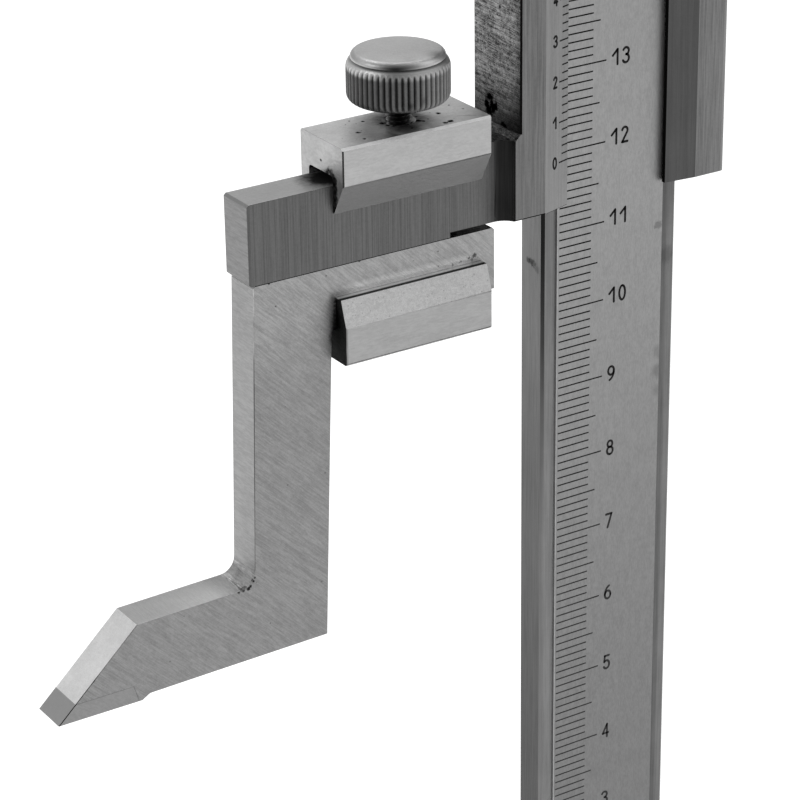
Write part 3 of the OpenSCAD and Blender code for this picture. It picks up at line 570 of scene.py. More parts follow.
def merged_copy(node, name):
    """A copy of a node's mesh with its doubled points merged and its flat faces made whole.

    An edge is shaded smooth only where it turns little and one of its two faces is no wider than a
    facet of a round surface.
    """
    mesh = frame["nodes"][node].data.copy()
    mesh.name = name
    mesh.materials.clear()
    work = bmesh.new()
    work.from_mesh(mesh)
    bmesh.ops.remove_doubles(work, verts=work.verts, dist=2e-6)
    bmesh.ops.dissolve_limit(work, angle_limit=math.radians(0.5), verts=work.verts, edges=work.edges)
    for face in work.faces:
        face.smooth = True
    for line in work.edges:
        least_area = min([face.calc_area() for face in line.link_faces], default=0.0)
        narrow = least_area < line.calc_length() * FACET_WIDTH * MM
        line.smooth = (narrow and len(line.link_faces) == 2
                       and line.calc_face_angle(0.0) < math.radians(SMOOTH_TURN))
    return mesh, work


def dressed(node, name, choose, broken, rim=None, least=1.0):
    """Copies a node, breaks its corners longer than the least length and paints it.

    The broken corners have one width in mm, or broken(middle) gives each its own from its middle.
    rim(normal, centre) gives a finish to the narrow new faces.
    """
    mesh, work = merged_copy(node, name)
    weight = work.edges.layers.float.new("bevel_weight_edge")
    widths = []
    for line in work.edges:
        if line.smooth or line.calc_length() < least * MM:
            continue
        middle = (line.verts[0].co + line.verts[1].co) / (2 * MM)
        widths.append((line, broken(middle) if callable(broken) else broken))
    widest = max(wide for line, wide in widths)
    for line, wide in widths:
        line[weight] = wide / widest
    work.to_mesh(mesh)
    work.free()
    piece = bpy.data.objects.new(name, mesh)
    scene.collection.objects.link(piece)
    paint(mesh, mesh.polygons, choose)
    own = len(mesh.materials)
    mesh.materials.append(FINISH["bright_break"])
    bevel = piece.modifiers.new("broken_corners", "BEVEL")
    bevel.limit_method = "WEIGHT"
    bevel.width = widest * MM
    bevel.segments = 2
    bevel.use_clamp_overlap = False
    bevel.harden_normals = True
    bevel.material = own
    bpy.context.view_layer.update()
    whole = bpy.data.meshes.new_from_object(piece.evaluated_get(bpy.context.evaluated_depsgraph_get()))
    piece.modifiers.clear()
    piece.data = whole
    whole.name = name
    paint(whole, [f for f in whole.polygons if f.material_index == own], rim or choose)
    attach(piece, body_of_node(node))
    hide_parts(node)
    print(name, "faces", len(whole.polygons), "finishes", len(whole.materials))


# %% Slider with its arm
ROOT_WIDTH, COVE_WIDTH = 3.4, 2.7
NEAR = 0.3


def slider_finish(normal, centre):
    """Finish of a slider's face, from where it looks and where it lies."""
    x, y, z = centre
    at_root = ROOT_X - ROOT_WIDTH < x < ROOT_X + 0.05 and z < SLIDER_Z + 10
    if at_root and normal.z > 0.4:
        return "root_slope"
    if at_root and x > ROOT_X - COVE_WIDTH and y < 3 and normal.y < -0.05:
        return "root_cove"
    if ROOT_X < x < SIDE_X + 0.01 and 0.3 < normal.z < 0.95:
        return "root_slope"
    if x < ROOT_X:
        if abs(normal.y) > 0.6:
            return "arm_brushed"
        if x < ARM_END_X and normal.z > 0.3 and normal.x < -0.3:
            return "arm_corner"
        return "arm_top" if normal.z > 0.6 else "arm_end"
    if x < SIDE_X + NEAR and y < FLANGE_Y + NEAR and normal.x < -0.5 and normal.y < -0.5:
        return "dark_break"
    if normal.y < -0.997 and y < FLANGE_Y + NEAR:
        return "plate_brushed"
    if x > FLANGE_X and normal.y < -0.1 and y < FLANGE_Y + 1:
        return "flange_front"
    if normal.y < -0.6:
        return "vernier_satin" if x < 0 else "flange_bevel"
    if normal.x < -0.9 and x < SIDE_X + 0.1:
        return "raw_side"
    # The flange's foot face in the gap is painted near black as the gap's shade.
    return "dirt" if -0.95 < y < -0.2 and normal.x < -0.9 else "plain_ground"


def slider_rim(normal, centre):
    """The plate's lower corner is painted dark as the shadow line under the slider; the arm's corners and the
    rest are as their faces.
    """
    x, y, z = centre
    if x < ROOT_X - NEAR:
        if x < ARM_END_X - 0.1:
            return "arm_end"
        return "arm_top" if normal.z > 0.8 else "arm_brushed"
    return "dark_break" if z < SLIDER_Z + NEAR and x < 0 else slider_finish(normal, centre)


def slider_breaks(middle):
    """Widths of the slider's broken corners.

    There are none in its window, at the arm's end or up the flange's left side, and the plate's
    lower one is the widest.
    """
    x, y, z = middle
    if x < ARM_END_X and abs(y - ARM_MIDDLE_Y) < 1:
        return 0.0
    if x < ROOT_X - NEAR:
        return 0.05
    if z < SLIDER_Z + 0.1 and y < -0.5 and x < -8.5:
        return 0.2 if y < -1.3 else 0.08
    if (x < SIDE_X + NEAR and y < -1.0 and z > SLIDER_Z + 0.1) or -9 < x < 9:
        return 0.0
    return 0.06


dressed("slider", "slider_body", slider_finish, slider_breaks, slider_rim, 1.5)


# %% Clamp, scriber and carbide edge
def clamp_finish(normal, centre):
    """Finish of a clamp's face."""
    x, y, z = centre
    front = y < CLAMP_FACE_Y + 2.2
    if abs(normal.x) > 0.9:
        return "clamp_end" if normal.x < 0 else "clamp_plain"
    if z > CLAMP_MIDDLE_Z:
        if normal.z > 0.9 and z > CLAMP_TOP_Z - 0.1:
            return "clamp_top"
        # The clamp's top front chamfer is painted near white as a highlight.
        if normal.z > 0.5 and front:
            return "bright_break"
        if normal.y < -0.99 and front:
            return "clamp_front"
        return "clamp_under" if normal.y < -0.3 else "clamp_plain"
    if normal.z > 0.9 and front:
        return "lip_land"
    if normal.y < -0.99 and front:
        return "clamp_jaw"
    return "clamp_lip" if normal.y < -0.9 else "clamp_plain"


def clamp_rim(normal, centre):
    """The left front corner is dark beside the upper lip and grey beside the jaw, whose foot is dark too."""
    x, y, z = centre
    if x < CLAMP_X + 0.4 and y < CLAMP_FACE_Y + 0.4 and abs(normal.z) < 0.3:
        return "soft_break" if z > CLAMP_MIDDLE_Z else "jaw_corner"
    if z < CLAMP_Z + 0.6 and x > CLAMP_X + 0.4 and y < CLAMP_FACE_Y + 0.4:
        return "grey_break"
    return clamp_finish(normal, centre)


def clamp_breaks(middle):
    """Widths of the clamp's broken corners: the left front one is wider."""
    x, y, z = middle
    if (y > CLAMP_FACE_Y + 0.5 and y < 0.2) or (z > CLAMP_TOP_Z - 0.4 and y < CLAMP_FACE_Y + 0.4):
        return 0.0
    return 0.2 if x < CLAMP_X + 0.1 and y < CLAMP_FACE_Y + 0.1 else 0.06


def scriber_finish(normal, centre):
    """Finish of a scriber's face: ground front and back, lighter sides, and a toe painted brightest as lit
    from above.
    """
    x, y, z = centre
    if abs(normal.y) > 0.7:
        return "scriber_front"
    if z > BAR_TOP_Z and normal.z > 0.5:
        return "under_arm"
    if normal.z > 0.3 and normal.x < -0.3 and x < TIP_X + 12:
        return "scriber_toe"
    if 0.1 < abs(normal.x) < 0.98 and normal.z > 0 and z < TIP_Z + 13:
        return "scuffed"
    return "foot_top" if normal.z > 0.9 else "leg_side"


def scriber_rim(normal, centre):
    """The bar's top front corner is painted dark as shade under the arm, and the leg's and the toe's front
    corners are dark; the others are as their faces.
    """
    x, y, z = centre
    front = y < ARM_FRONT_Y + NEAR
    if front and z > BAR_TOP_Z and normal.z > 0.5:
        return "dark_break"
    if front and x < LEG_X and z > LEG_FOOT_Z and normal.x < -0.2:
        return "grey_break"
    if front and x < TIP_X + 10.8 and normal.z > 0.2:
        return "toe_edge"
    return scriber_finish(normal, centre)


def scriber_breaks(middle):
    """Widths of the scriber's broken corners: none at the carbide, wider on the leg."""
    x, y, z = middle
    if (z < TIP_Z + 2.3 and x < TIP_X + 11) or (z > BAR_TOP_Z and x < ARM_END_X + 0.7):
        return 0.0
    return 0.1 if y < ARM_FRONT_Y + 0.1 and z > LEG_FOOT_Z and x < LEG_X else 0.06


def carbide_breaks(middle):
    """The carbide's sloped front corner is broken, and the joint above it shows as a fine line."""
    x, y, z = middle
    if y > ARM_FRONT_Y + 0.1 or z < TIP_Z + 0.2:
        return 0.0
    return 0.09 if x < TIP_X + 2.3 else 0.045


dressed("clamp_frame", "clamp_body", clamp_finish, clamp_breaks, clamp_rim)
dressed("scriber", "scriber_body", scriber_finish, scriber_breaks, scriber_rim)
dressed("scriber_tip", "carbide_edge",
        lambda n, c: "carbide_face" if abs(n.y) > 0.7 else "carbide_end", carbide_breaks,
        lambda n, c: "dark_break" if c.x < TIP_X + 2.6 else "joint_line")


# %% Beam and graduated strip
def beam_finish(normal, centre):
    """Walls, front strips, back and the chamfers between them: the right one is painted bright as a
    highlight.
    """
    if abs(normal.x) > 0.9:
        return "beam_wall"
    if 0.3 < abs(normal.x) < 0.9 and normal.y < 0:
        return "beam_chamfer" if normal.x < 0 else "worn_chamfer"
    return "beam_valley" if centre.x > 7 and normal.y < 0 else "beam_face"


def strip_rim(normal, centre):
    """The strip's left front corner is as its side; the others are as its face."""
    return "scale_side" if centre.x < 0 and centre.y < 0.3 else "scale_chrome"


dressed("beam", "beam_bar", beam_finish,
        lambda middle: 0.0 if abs(middle.x) < 9 or middle.y < 1 else 0.05, least=3.0)
dressed("main_scale", "scale_strip",
        lambda n, c: "scale_side" if abs(n.x) > 0.9 else "scale_chrome",
        lambda middle: 0.1 if middle.x < -7 and middle.y < 0.3 else 0.0, strip_rim, 3.0)

# %% Base and the other plain pieces
for node, name, slot, label, width, least in (
        ("base", "base_block", "base_steel", "base_ground", 0.4, 4.0),
        ("retaining_plate", "beam_plate", "base_steel", "plain_ground", 0.25, 1.0),
        ("top_stop", "stop_cap", "slider_steel", "plain_ground", 0.25, 1.0),
        ("carriage", "fine_carriage_body", "slider_steel", "plain_ground", 0.15, 1.5)):
    dressed(node, name, lambda n, c: label, width, least=least)

for label, nodes in (
        ("screw_turned", ("scale_screws", "plate_screws", "beam_pins", "stop_screw", "gib_screws",
                          "feed_pin")),
        ("gib_rolled", ("slider_gib", "carriage_gib"))):
    for node in nodes:
        mesh = frame["nodes"][node].data
        mesh.materials.clear()
        mesh.materials.append(FINISH[label])

# %% [markdown]
# Knurled heads and threads are the same kind of shape: something turned, with a small cut that
# repeats round it. A turned surface is a grid whose one direction runs round the axis and whose
# other follows the profile, so the cut is simply taken off the radius at every grid point. The same
# numbers say how deep in a groove each point lies, and the finish darkens each point by them.

# %% Turned surfaces
def smooth_step(value, low, high):
    """0 on the low side, 1 on the high side, and a soft S between the two."""
    t = np.clip((value - low) / (high - low), 0.0, 1.0)
    return t * t * (3.0 - 2.0 * t)


def round_angles(columns):
    """Evenly spaced angles once round, as a row."""
    return np.linspace(0, 2 * np.pi, columns, endpoint=False)[None, :]


def ring_quads(count, columns):
    """Quads of a grid of some rows whose columns close into a ring, as lists of four point numbers."""
    row = np.arange(count - 1)[:, None] * columns
    column = np.arange(columns)[None, :]
    after = (column + 1) % columns
    quads = np.stack([row + column, row + after, row + columns + after, row + columns + column], axis=-1)
    return quads.reshape(-1, 4)


def turned(profile, cut, columns, closed=False):
    """Points, faces and groove share of a turned surface, the last as a grid of rows and columns.

    Point (i, j) lies at radius r_j - cut(angle_i, z_j) and height z_j, where (r_j, z_j) is the
    profile. An open profile gets a flat cap at each end; a closed one is joined to its own start.
    """
    radius, height = profile[:, :1], profile[:, 1:]
    angle = round_angles(columns)
    depth, groove = cut(angle, height)
    depth = np.broadcast_to(depth, (len(profile), columns))
    groove = np.broadcast_to(groove, (len(profile), columns))
    r = radius - depth
    points = np.stack([r * np.cos(angle), r * np.sin(angle), np.broadcast_to(height, r.shape)], axis=-1)
    faces = ring_quads(len(profile), columns).tolist()
    last = (len(profile) - 1) * columns
    if closed:
        around = np.arange(columns)
        after = (around + 1) % columns
        faces += np.stack([last + around, last + after, after, around], axis=-1).tolist()
    else:
        faces += [list(range(columns))[::-1], list(range(last, last + columns))]
    return points.reshape(-1, 3), faces, groove


def arc(centre, radii, start, end, count=10):
    """Points on an ellipse's arc, from a start to an end angle in degrees."""
    a = np.radians(np.linspace(start, end, count))
    return np.stack([centre[0] + radii[0] * np.cos(a), centre[1] + radii[1] * np.sin(a)], axis=-1)


def steps(start, end, count):
    """Evenly spaced points from one profile point to another."""
    return np.linspace(start, end, count)


SHARP_TURN = 35


def add_piece(name, points, faces, label, body, slot, shade=None, node=None):
    """A new piece from points in millimetres, riding on a body, smooth but for its sharp corners.

    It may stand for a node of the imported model.
    """
    mesh = bpy.data.meshes.new(name)
    mesh.from_pydata((points * MM).tolist(), [], faces)
    mesh.materials.append(FINISH[label])
    mesh.polygons.foreach_set("use_smooth", np.ones(len(mesh.polygons), dtype=bool))
    if shade is not None:
        values = np.ascontiguousarray(shade, dtype=np.float32).reshape(-1)
        mesh.attributes.new("shade", "FLOAT", "POINT").data.foreach_set("value", values)
    mesh.set_sharp_from_angle(angle=math.radians(SHARP_TURN))
    piece = bpy.data.objects.new(name, mesh)
    scene.collection.objects.link(piece)
    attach(piece, body)
    if node is not None:
        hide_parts(node)
    print(name, "faces", len(mesh.polygons))


# %% Knurled head and thread
KNURLS, KNURL_COLUMNS = 52, 9
KNURL_DEPTH, KNURL_FOOT, KNURL_RIM = 0.22, 0.02, 0.28
DOME_RISE = 1.1
THREAD_COLUMNS = 40
READER = math.radians(-122)


def head_profile(r, band):
    """Half outline of a head: flat below, rounded rim, band, shoulder, crease, lens and low dome."""
    rim, shoulder, shoulder_turn = 1.0, 1.3, 53
    shoulder_z = band - shoulder * math.sin(math.radians(shoulder_turn))
    cap_r = r - shoulder * (1 - math.cos(math.radians(shoulder_turn)))
    lens_w, lens_h, lens_turn, dome = 0.88, 0.67, 70, 0.27
    crease_z, crease_deep = 0.17, 0.3
    lens = arc((cap_r - lens_w, band + crease_z), (lens_w, lens_h), -12, lens_turn, 16)
    edge_r, edge_z = lens[-1]
    inward = np.linspace(1.0, 0.01, 16)[1:]
    cap = np.stack([edge_r * inward, edge_z + dome * (1 - inward ** 2)], axis=-1)
    return np.vstack([
        steps((0.05, 0), (r - rim - 0.3, 0), 6), arc((r - rim, rim), (rim, rim), -90, 0),
        steps((r, rim), (r, shoulder_z), 22)[1:-1],
        arc((r - shoulder, shoulder_z), (shoulder, shoulder), 0, shoulder_turn, 12),
        [(cap_r - crease_deep, band + 0.01)], lens, cap])


def knurl(top):
    """Cut of the knurling: rounded lands with narrow grooves that fade out at the foot and the top."""
    def cut(angle, height):
        wave = (0.5 + 0.5 * np.cos(KNURLS * angle)) ** 1.6
        fade = smooth_step(height, KNURL_FOOT, KNURL_FOOT + 0.5) * smooth_step(height, top, top - 0.6)
        return KNURL_DEPTH * wave * fade, wave * fade
    return cut


def turn_from(angle, middle):
    """How far an angle lies from another, from minus half a turn to half a turn, in radians."""
    return (angle - middle + np.pi) % (2 * np.pi) - np.pi


def near(angle, middle, spread):
    """1 at an angle in radians, falling off to either side of it over a spread in degrees."""
    return np.exp(-(turn_from(angle, middle) / math.radians(spread)) ** 2)


def head_shade(profile, r, band, groove):
    """How dark each point of a head is: darkened grooves, a band painted dark as shade, a crease painted
    dark and a dome painted lighter at its back.

    The band is painted darkest on the camera's side and left of it, and lighter on the right. The lens
    carries a painted dark reflection on the camera's side towards the crease and painted highlights at
    both ends of that dark part, where the share goes below zero.
    """
    height, reach = profile[:, 1:], profile[:, :1] / r
    turn = turn_from(round_angles(groove.shape[1]), READER)
    right = smooth_step(turn, 0.1, 0.75) * smooth_step(turn, 2.6, 1.9)
    # Painted shade on the band: darkest on the camera's side and left of it, lighter on the right, with dark
    # blots.
    band_dark = 0.77 + 0.04 * near(turn, -0.6, 25) - 0.2 * right
    blots = sum(near(turn, at, 3) * np.exp(-((height - up) / 0.4) ** 2)
                for at, up in ((0.5, 1.4), (0.23, 1.0)))
    band_dark = band_dark + 0.15 * blots
    # The shoulder is painted dark on the camera's side and lighter to either side of it.
    shoulder = 0.12 + 0.42 * near(turn, -0.08, 20) - 0.5 * near(turn, -1.1, 25) - 0.25 * near(turn, 0.65, 24)
    # Painted shade from the band up through the shoulder, darkest just under the crease on the camera's side.
    band_shade = band_dark + (shoulder - band_dark) * smooth_step(height, band - 1.3, band - 0.7)
    band_shade = band_shade + (0.93 - band_shade) * smooth_step(height, band - 0.24, band - 0.06) * near(turn, -0.1, 75)
    # A painted dark reflection on the lens, on the camera's side, down towards the crease.
    lens = near(turn, -0.06, 32) * (0.72 * smooth_step(height, band + 0.87, band + 0.7)
                                    + 0.27 * smooth_step(height, band + 0.55, band + 0.25))
    # Painted highlights at both ends of that dark part, and a painted dark line along the lens's top edge.
    hump = np.exp(-((height - band - 0.5) / 0.22) ** 2)
    shine = (1.0 * near(turn, 0.68, 15) + 0.3 * near(turn, -0.85, 14)) * hump
    edge = 0.5 * near(turn, 1.15, 14) * np.exp(-((height - band - 0.8) / 0.08) ** 2)
    # The dome is painted darker towards the camera's side and lighter at its back; the crease is painted
    # dark, darkest on the camera's side.
    dome = 0.16 * reach * np.cos(turn) * smooth_step(height, band + 0.75, band + 0.85) - 0.03
    crease = 0.5 + 0.46 * near(turn, -0.05, 60)
    above = np.maximum(lens, edge) + dome - shine
    plain = np.where(height > band + 0.04, above, np.where(height > band, crease, band_shade))
    return 1 - (1 - plain) * (1 - 0.85 * groove)


def thread(pitch, deep, low, high):
    """Cut of a screw thread: a wave that climbs one pitch each turn and runs out at both ends."""
    def cut(angle, height):
        wave = 0.5 - 0.5 * np.cos(2 * np.pi * height / pitch - angle)
        inside = smooth_step(height, low, low + pitch) * smooth_step(height, high, high - 0.3 * pitch)
        hollow = wave ** 0.8 * inside + (1 - inside) * (height < low + pitch)
        return deep * hollow, hollow
    return cut


def shank_profile(r, low, high, step):
    """Half outline of a threaded shank with a small chamfer at its free end."""
    count = int((high - low) / step)
    return np.vstack([[(0.05, low), (r - 0.4, low)], steps((r, low + 0.4), (r, high), count),
                      [(0.05, high)]])


def upright(x, y, z):
    """Places a local axis along +Z at a point."""
    return lambda points: points + np.array([x, y, z])


def sideways(x, y, z):
    """Turns a local +Z axis to +X and places it at a point."""
    return lambda points: np.stack([points[:, 2], points[:, 1], -points[:, 0]], axis=-1) + np.array([x, y, z])


def thumb_screw(node, name, place, r, band, shank_r, shank, pitch):
    """A knurled head with its threaded shank, for the node that it stands for."""
    body = body_of_node(node)
    profile = head_profile(r, band)
    points, faces, groove = turned(profile, knurl(band - KNURL_RIM), KNURLS * KNURL_COLUMNS)
    add_piece(name + "_head", place(points), faces, "knob_turned", body, "knob_steel",
              head_shade(profile, r, band, groove), node)
    profile = shank_profile(shank_r, -shank, 0.3, pitch / 11)
    points, faces, groove = turned(profile, thread(pitch, 0.6 * pitch, -shank, -0.2), THREAD_COLUMNS)
    angle = round_angles(THREAD_COLUMNS)
    # The thread is painted darker on the camera's side as a dark reflection, with painted glints to either
    # side of it and darkened roots.
    shade = 1 - (1 - 0.8 * groove) * (1 - 0.75 * near(angle, READER, 40))
    glint = near(angle, READER - 1.15, 12) + near(angle, READER + 1.15, 12)
    add_piece(name + "_thread", place(points), faces, "thread_steel", body, "knob_steel",
              shade - 1.5 * glint * (1 - groove))


KNOB_BAND, KNOB_SHANK_R, KNOB_PITCH = 5.0, 1.5, 0.5
LOCK_BAND, LOCK_SHANK_R, LOCK_PITCH = 6.0, 2.0, 0.7
lo, hi, middle = KNOB
face = hi[2] - KNOB_BAND - DOME_RISE
thumb_screw("clamp_screw", "clamp_knob", upright(middle[0], middle[1], face), (hi[0] - lo[0]) / 2,
            KNOB_BAND, KNOB_SHANK_R, face - lo[2], KNOB_PITCH)
for node in ("slider_lock_screw", "carriage_lock_screw"):
    lo, hi, middle = box_mm(node)
    face = hi[0] - LOCK_BAND - DOME_RISE
    thumb_screw(node, node, sideways(face, middle[1], middle[2]), (hi[2] - lo[2]) / 2,
                LOCK_BAND, LOCK_SHANK_R, face - lo[0], LOCK_PITCH)

# %% Fine-feed screw and nut
FEED_R, FEED_PITCH, FEED_COLUMNS = 2.0, 0.7, 32
THREAD_START, CHAMFER = 9.0, 0.4
lo, hi, middle = box_mm("feed_screw")
length = hi[2] - lo[2]
profile = np.vstack([
    [(0.05, 0), (FEED_R - CHAMFER, 0)],
    steps((FEED_R, CHAMFER), (FEED_R, length - CHAMFER), int(length * 15)),
    [(FEED_R - CHAMFER, length), (0.05, length)]])
points, faces, groove = turned(profile, thread(FEED_PITCH, 0.6 * FEED_PITCH, THREAD_START, length + 1),
                               FEED_COLUMNS)
add_piece("feed_thread", upright(middle[0], middle[1], lo[2])(points), faces, "thread_steel",
          body_of_node("feed_screw"), "screw_steel", 0.8 * groove, "feed_screw")

lo, hi, middle = box_mm("feed_nut")
NUT_R, NUT_T, NUT_BORE, NUT_RIM, NUT_CHAMFER = (hi[0] - lo[0]) / 2, hi[2] - lo[2], 2.05, 0.7, 0.3
profile = np.vstack([
    [(NUT_BORE, NUT_CHAMFER), (NUT_BORE + NUT_CHAMFER, 0)], steps((3, 0), (NUT_R - 0.9, 0), 4),
    arc((NUT_R - NUT_RIM, NUT_RIM), (NUT_RIM, NUT_RIM), -75, 0),
    steps((NUT_R, NUT_RIM), (NUT_R, NUT_T - NUT_RIM), 18)[1:],
    arc((NUT_R - NUT_RIM, NUT_T - NUT_RIM), (NUT_RIM, NUT_RIM), 8, 90),
    steps((NUT_R - 1, NUT_T), (3, NUT_T), 4),
    [(NUT_BORE + NUT_CHAMFER, NUT_T), (NUT_BORE, NUT_T - NUT_CHAMFER)]])
points, faces, groove = turned(profile, knurl(NUT_T - 0.3), KNURLS * KNURL_COLUMNS, closed=True)
add_piece("feed_wheel", upright(middle[0], middle[1], lo[2])(points), faces, "knob_turned",
          body_of_node("feed_nut"), "knob_steel", 0.3 + 0.6 * groove, "feed_nut")

# %% [markdown]
# The graduations are cut into the steel and filled with black. Seen from any useful distance they
# are flat dark lines, so each is a hair-thin bar sunk in its face and standing a few thousandths
# proud. Their places follow the rule of the instrument: the scale has a line every millimetre, and
# the vernier has fifty spaces of 0.98 mm, so that only one pair of lines agrees at a time. The
# numbers are drawn as the engraver's cutter draws them, as strokes of one width on simple arcs, and
# a few of them stand a hair off their lines.

# %% Bars and strokes on a plane
SUNK, PROUD = 0.02, 0.006
CAP_TURNS = (80, 50, 25)


def stroke_bar(path, width, origin, right, up, out, round_ends=True):
    """A thin bar of one width along a path drawn on a plane, with its points and faces.

    The path's tangent is turned a quarter to give its left side. Each station has four corners:
    left and right by half the width, below and above the plane. Round ends are three stations whose
    width follows a half circle.
    """
    path = np.asarray(path, float)
    tangent = np.gradient(path, axis=0)
    tangent /= np.linalg.norm(tangent, axis=1, keepdims=True)
    scale = np.ones(len(path))
    if round_ends:
        turns = np.radians(CAP_TURNS)
        ahead, wide = width / 2 * np.sin(turns)[:, None], np.cos(turns)
        path = np.vstack([path[0] - tangent[0] * ahead, path, path[-1] + tangent[-1] * ahead[::-1]])
        cap = len(CAP_TURNS)
        start, end = np.repeat(tangent[:1], cap, axis=0), np.repeat(tangent[-1:], cap, axis=0)
        tangent = np.vstack([start, tangent, end])
        scale = np.concatenate([wide, scale, wide[::-1]])
    left = np.stack([-tangent[:, 1], tangent[:, 0]], axis=-1) * (width / 2 * scale)[:, None]
    corners = []
    for side, lift in ((1, -SUNK), (1, PROUD), (-1, PROUD), (-1, -SUNK)):
        flat = path + side * left
        corners.append(origin + flat[:, :1] * right + flat[:, 1:] * up + lift * out)
    points = np.stack(corners, axis=1).reshape(-1, 3)
    last = 4 * (len(path) - 1)
    faces = ring_quads(len(path), 4).tolist() + [[3, 2, 1, 0], [last, last + 1, last + 2, last + 3]]
    return points, faces


def joined(parts):
    """Many small meshes laid into one list of points and one list of faces."""
    points, faces, start = [], [], 0
    for some_points, some_faces in parts:
        points.append(some_points)
        faces += [[start + corner for corner in face] for face in some_faces]
        start += len(some_points)
    return np.vstack(points), faces


# %% Shapes of the numbers
GLYPHS = {
    "0": [arc((0.235, 0.5), (0.235, 0.5), 90, 450, 30)],
    "1": [[(0.0, 0.63), (0.37, 1.0)], [(0.37, 1.0), (0.37, 0.0)]],
    "2": [np.vstack([arc((0.235, 0.76), (0.215, 0.24), 165, -20, 14), [(0.03, 0.0)]]),
          [(0.03, 0.0), (0.45, 0.0)]],
    "3": [arc((0.22, 0.765), (0.22, 0.235), 155, -80, 14), arc((0.215, 0.27), (0.245, 0.27), 85, -155, 16)],
    "4": [[(0.36, 1.0), (0.0, 0.3)], [(0.0, 0.3), (0.47, 0.3)], [(0.36, 1.0), (0.36, 0.0)]],
    "5": [[(0.43, 1.0), (0.08, 1.0)], [(0.08, 1.0), (0.04, 0.54)],
          arc((0.215, 0.315), (0.245, 0.315), 135, -150, 16)],
    "6": [arc((0.235, 0.3), (0.235, 0.3), 0, 360, 24), arc((0.5, 0.32), (0.5, 0.68), 178, 108, 10)],
    "7": [[(0.0, 1.0), (0.46, 1.0)], [(0.46, 1.0), (0.14, 0.0)]],
    "8": [arc((0.235, 0.765), (0.2, 0.235), -90, 270, 22), arc((0.235, 0.27), (0.235, 0.27), -90, 270, 24)],
    "9": [arc((0.235, 0.7), (0.235, 0.3), 0, 360, 24), arc((-0.03, 0.68), (0.5, 0.68), -2, -72, 10)],
}
GLYPH_STEP = 0.81


def number(text, height, width, origin, right, up, out):
    """A number's strokes: each digit's shape scaled to the height and set beside the last."""
    parts = []
    for place, digit in enumerate(text):
        for path in GLYPHS[digit]:
            path = (np.asarray(path, float) + np.array([place * GLYPH_STEP, -0.5])) * height
            parts.append(stroke_bar(path, width, origin, right, up, out))
    return parts


# %% Main scale
UP = np.array([0, 0, 1.0])
FRONT_PLANE = np.array([1.0, 0, 0]), UP, np.array([0, -1.0, 0])
LINE_WIDTH, LINE_START = 0.18, STRIP[0][0] + 0.3
LINE_LENGTHS = ((10, 6.5), (5, 5.6), (1, 4.6))
SCALE_END_MM = 350
NUMBER_HEIGHT, NUMBER_STROKE, NUMBER_X, NUMBER_LIFT = 1.82, 0.3, -0.18, 0.12
LIFTS = {12: 0.24, 11: 0.17, 10: 0.17, 9: -0.08}
parts = []
for mark in range(SCALE_END_MM + 1):
    length = next(long for every, long in LINE_LENGTHS if mark % every == 0)
    origin = np.array([LINE_START, 0, SCALE_ZERO + mark])
    parts.append(stroke_bar([(0, 0), (length, 0)], LINE_WIDTH, origin, *FRONT_PLANE, False))
for centimetre in range(1, SCALE_END_MM // 10):
    height = SCALE_ZERO + 10 * centimetre + NUMBER_LIFT + LIFTS.get(centimetre, 0.0)
    origin = np.array([NUMBER_X, 0, height])
    parts += number(str(centimetre), NUMBER_HEIGHT, NUMBER_STROKE, origin, *FRONT_PLANE)
add_piece("scale_marks", *joined(parts), "black_fill", "stand", "screw_steel")

# %% Vernier
bevel = np.array([VERNIER_BEVEL, -VERNIER_LIP - FLANGE_Y, 0])
ALONG_BEVEL = bevel / np.linalg.norm(bevel)
BEVEL_PLANE = ALONG_BEVEL, UP, np.cross(ALONG_BEVEL, UP)
SPACES, SPACE = 50, 0.98
LONG_X, SHORT_X, LIP_GAP = 8.24, 7.74, 0.02
DIGIT_HEIGHT, DIGIT_STROKE, DIGIT_BACK, DIGIT_LIFT = 1.26, 0.29, 2.72, 0.13
parts = []
for mark in range(SPACES + 1):
    reach = LONG_X if mark % 5 == 0 else SHORT_X
    length = (reach + VERNIER_EDGE - LIP_GAP) / ALONG_BEVEL[0]
    edge = np.array([VERNIER_EDGE, -VERNIER_LIP, VERNIER_ZERO + mark * SPACE])
    parts.append(stroke_bar([(-length, 0), (-LIP_GAP, 0)], LINE_WIDTH, edge, *BEVEL_PLANE, False))
    if mark % 5 == 0:
        origin = edge - ALONG_BEVEL * DIGIT_BACK + UP * DIGIT_LIFT
        parts += number(str(mark // 5 % 10), DIGIT_HEIGHT, DIGIT_STROKE, origin, *BEVEL_PLANE)
add_piece("vernier_marks", *joined(parts), "black_fill", "slide", "screw_steel")


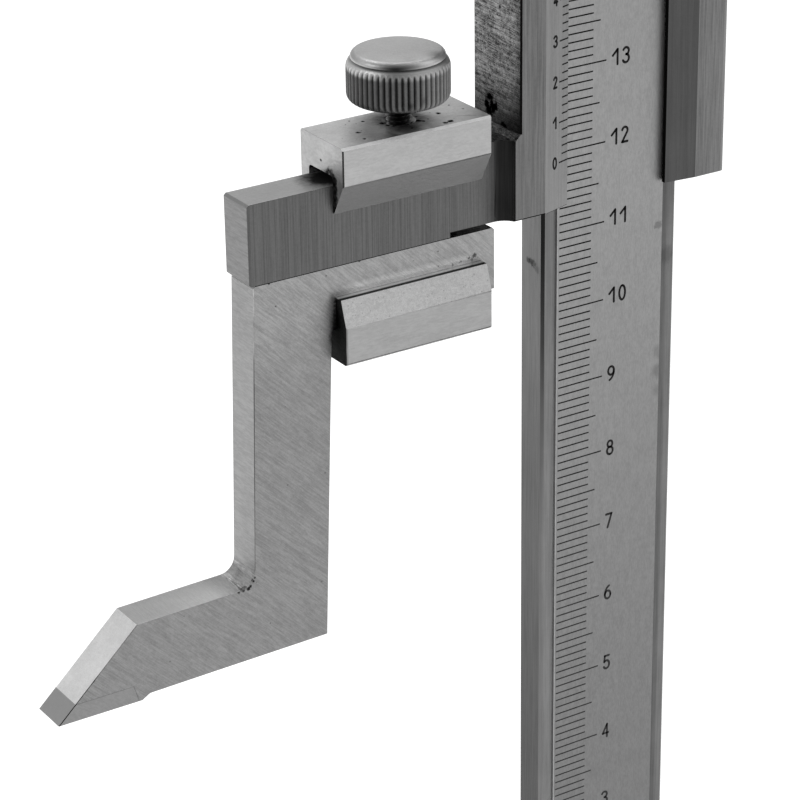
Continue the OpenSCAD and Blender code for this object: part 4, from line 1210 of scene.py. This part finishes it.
# %% [markdown]
# The floor is a plain pale table. Photographs of tools are often lit so brightly from behind that
# the table turns white. Here the floor gets a little light of its own that only the camera and the
# metal see, so it renders white while it still keeps the gauge's soft shadow.

# %% Floor
def make_floor(half, own_light):
    """A square sheet as wide as two halves, level with the foot of the base, with its own light."""
    mesh = bpy.data.meshes.new("table_top")
    mesh.from_pydata([(-half, -half, 0), (half, -half, 0), (half, half, 0), (-half, half, 0)], [],
                     [(0, 1, 2, 3)])
    floor = bpy.data.objects.new("table_top", mesh)
    scene.collection.objects.link(floor)
    material = bpy.data.materials.new("pale_table")
    material.use_nodes = True
    tree = material.node_tree
    shader = tree.nodes["Principled BSDF"]
    shader.inputs["Base Color"].default_value = (0.8, 0.8, 0.8, 1)
    shader.inputs["Roughness"].default_value = 0.9
    shader.inputs["Emission Color"].default_value = (1, 1, 1, 1)
    path = tree.nodes.new("ShaderNodeLightPath")
    seen = plus(tree, path.outputs["Is Camera Ray"], plus(
        tree, path.outputs["Is Glossy Ray"], path.outputs["Is Transmission Ray"]), clamp=True)
    tree.links.new(times(tree, seen, own_light), shader.inputs["Emission Strength"])
    mesh.materials.append(material)


make_floor(4.0, 0.45)

# %% World and soft lamps
world = bpy.data.worlds.new("studio_air")
scene.world = world
world.use_nodes = True
air = world.node_tree.nodes["Background"]
air.inputs["Color"].default_value = (1, 1, 1, 1)
air.inputs["Strength"].default_value = 0.55


def softbox(name, at, aim, size, power):
    """A square area lamp that faces a point."""
    lamp = bpy.data.lights.new(name, "AREA")
    lamp.size = size
    lamp.energy = power
    made = bpy.data.objects.new(name, lamp)
    made.location = at
    made.rotation_mode = "QUATERNION"
    made.rotation_quaternion = (Vector(aim) - Vector(at)).to_track_quat("-Z", "Y")
    scene.collection.objects.link(made)


softbox("overhead_box", (0.3, 0.5, 1.7), (0, 0, 0.15), 1.4, 14)
softbox("side_box", (-1.4, 0.1, 0.9), (0, 0, 0.15), 0.9, 5)

# %% Settings
scene.view_settings.view_transform = "Standard"
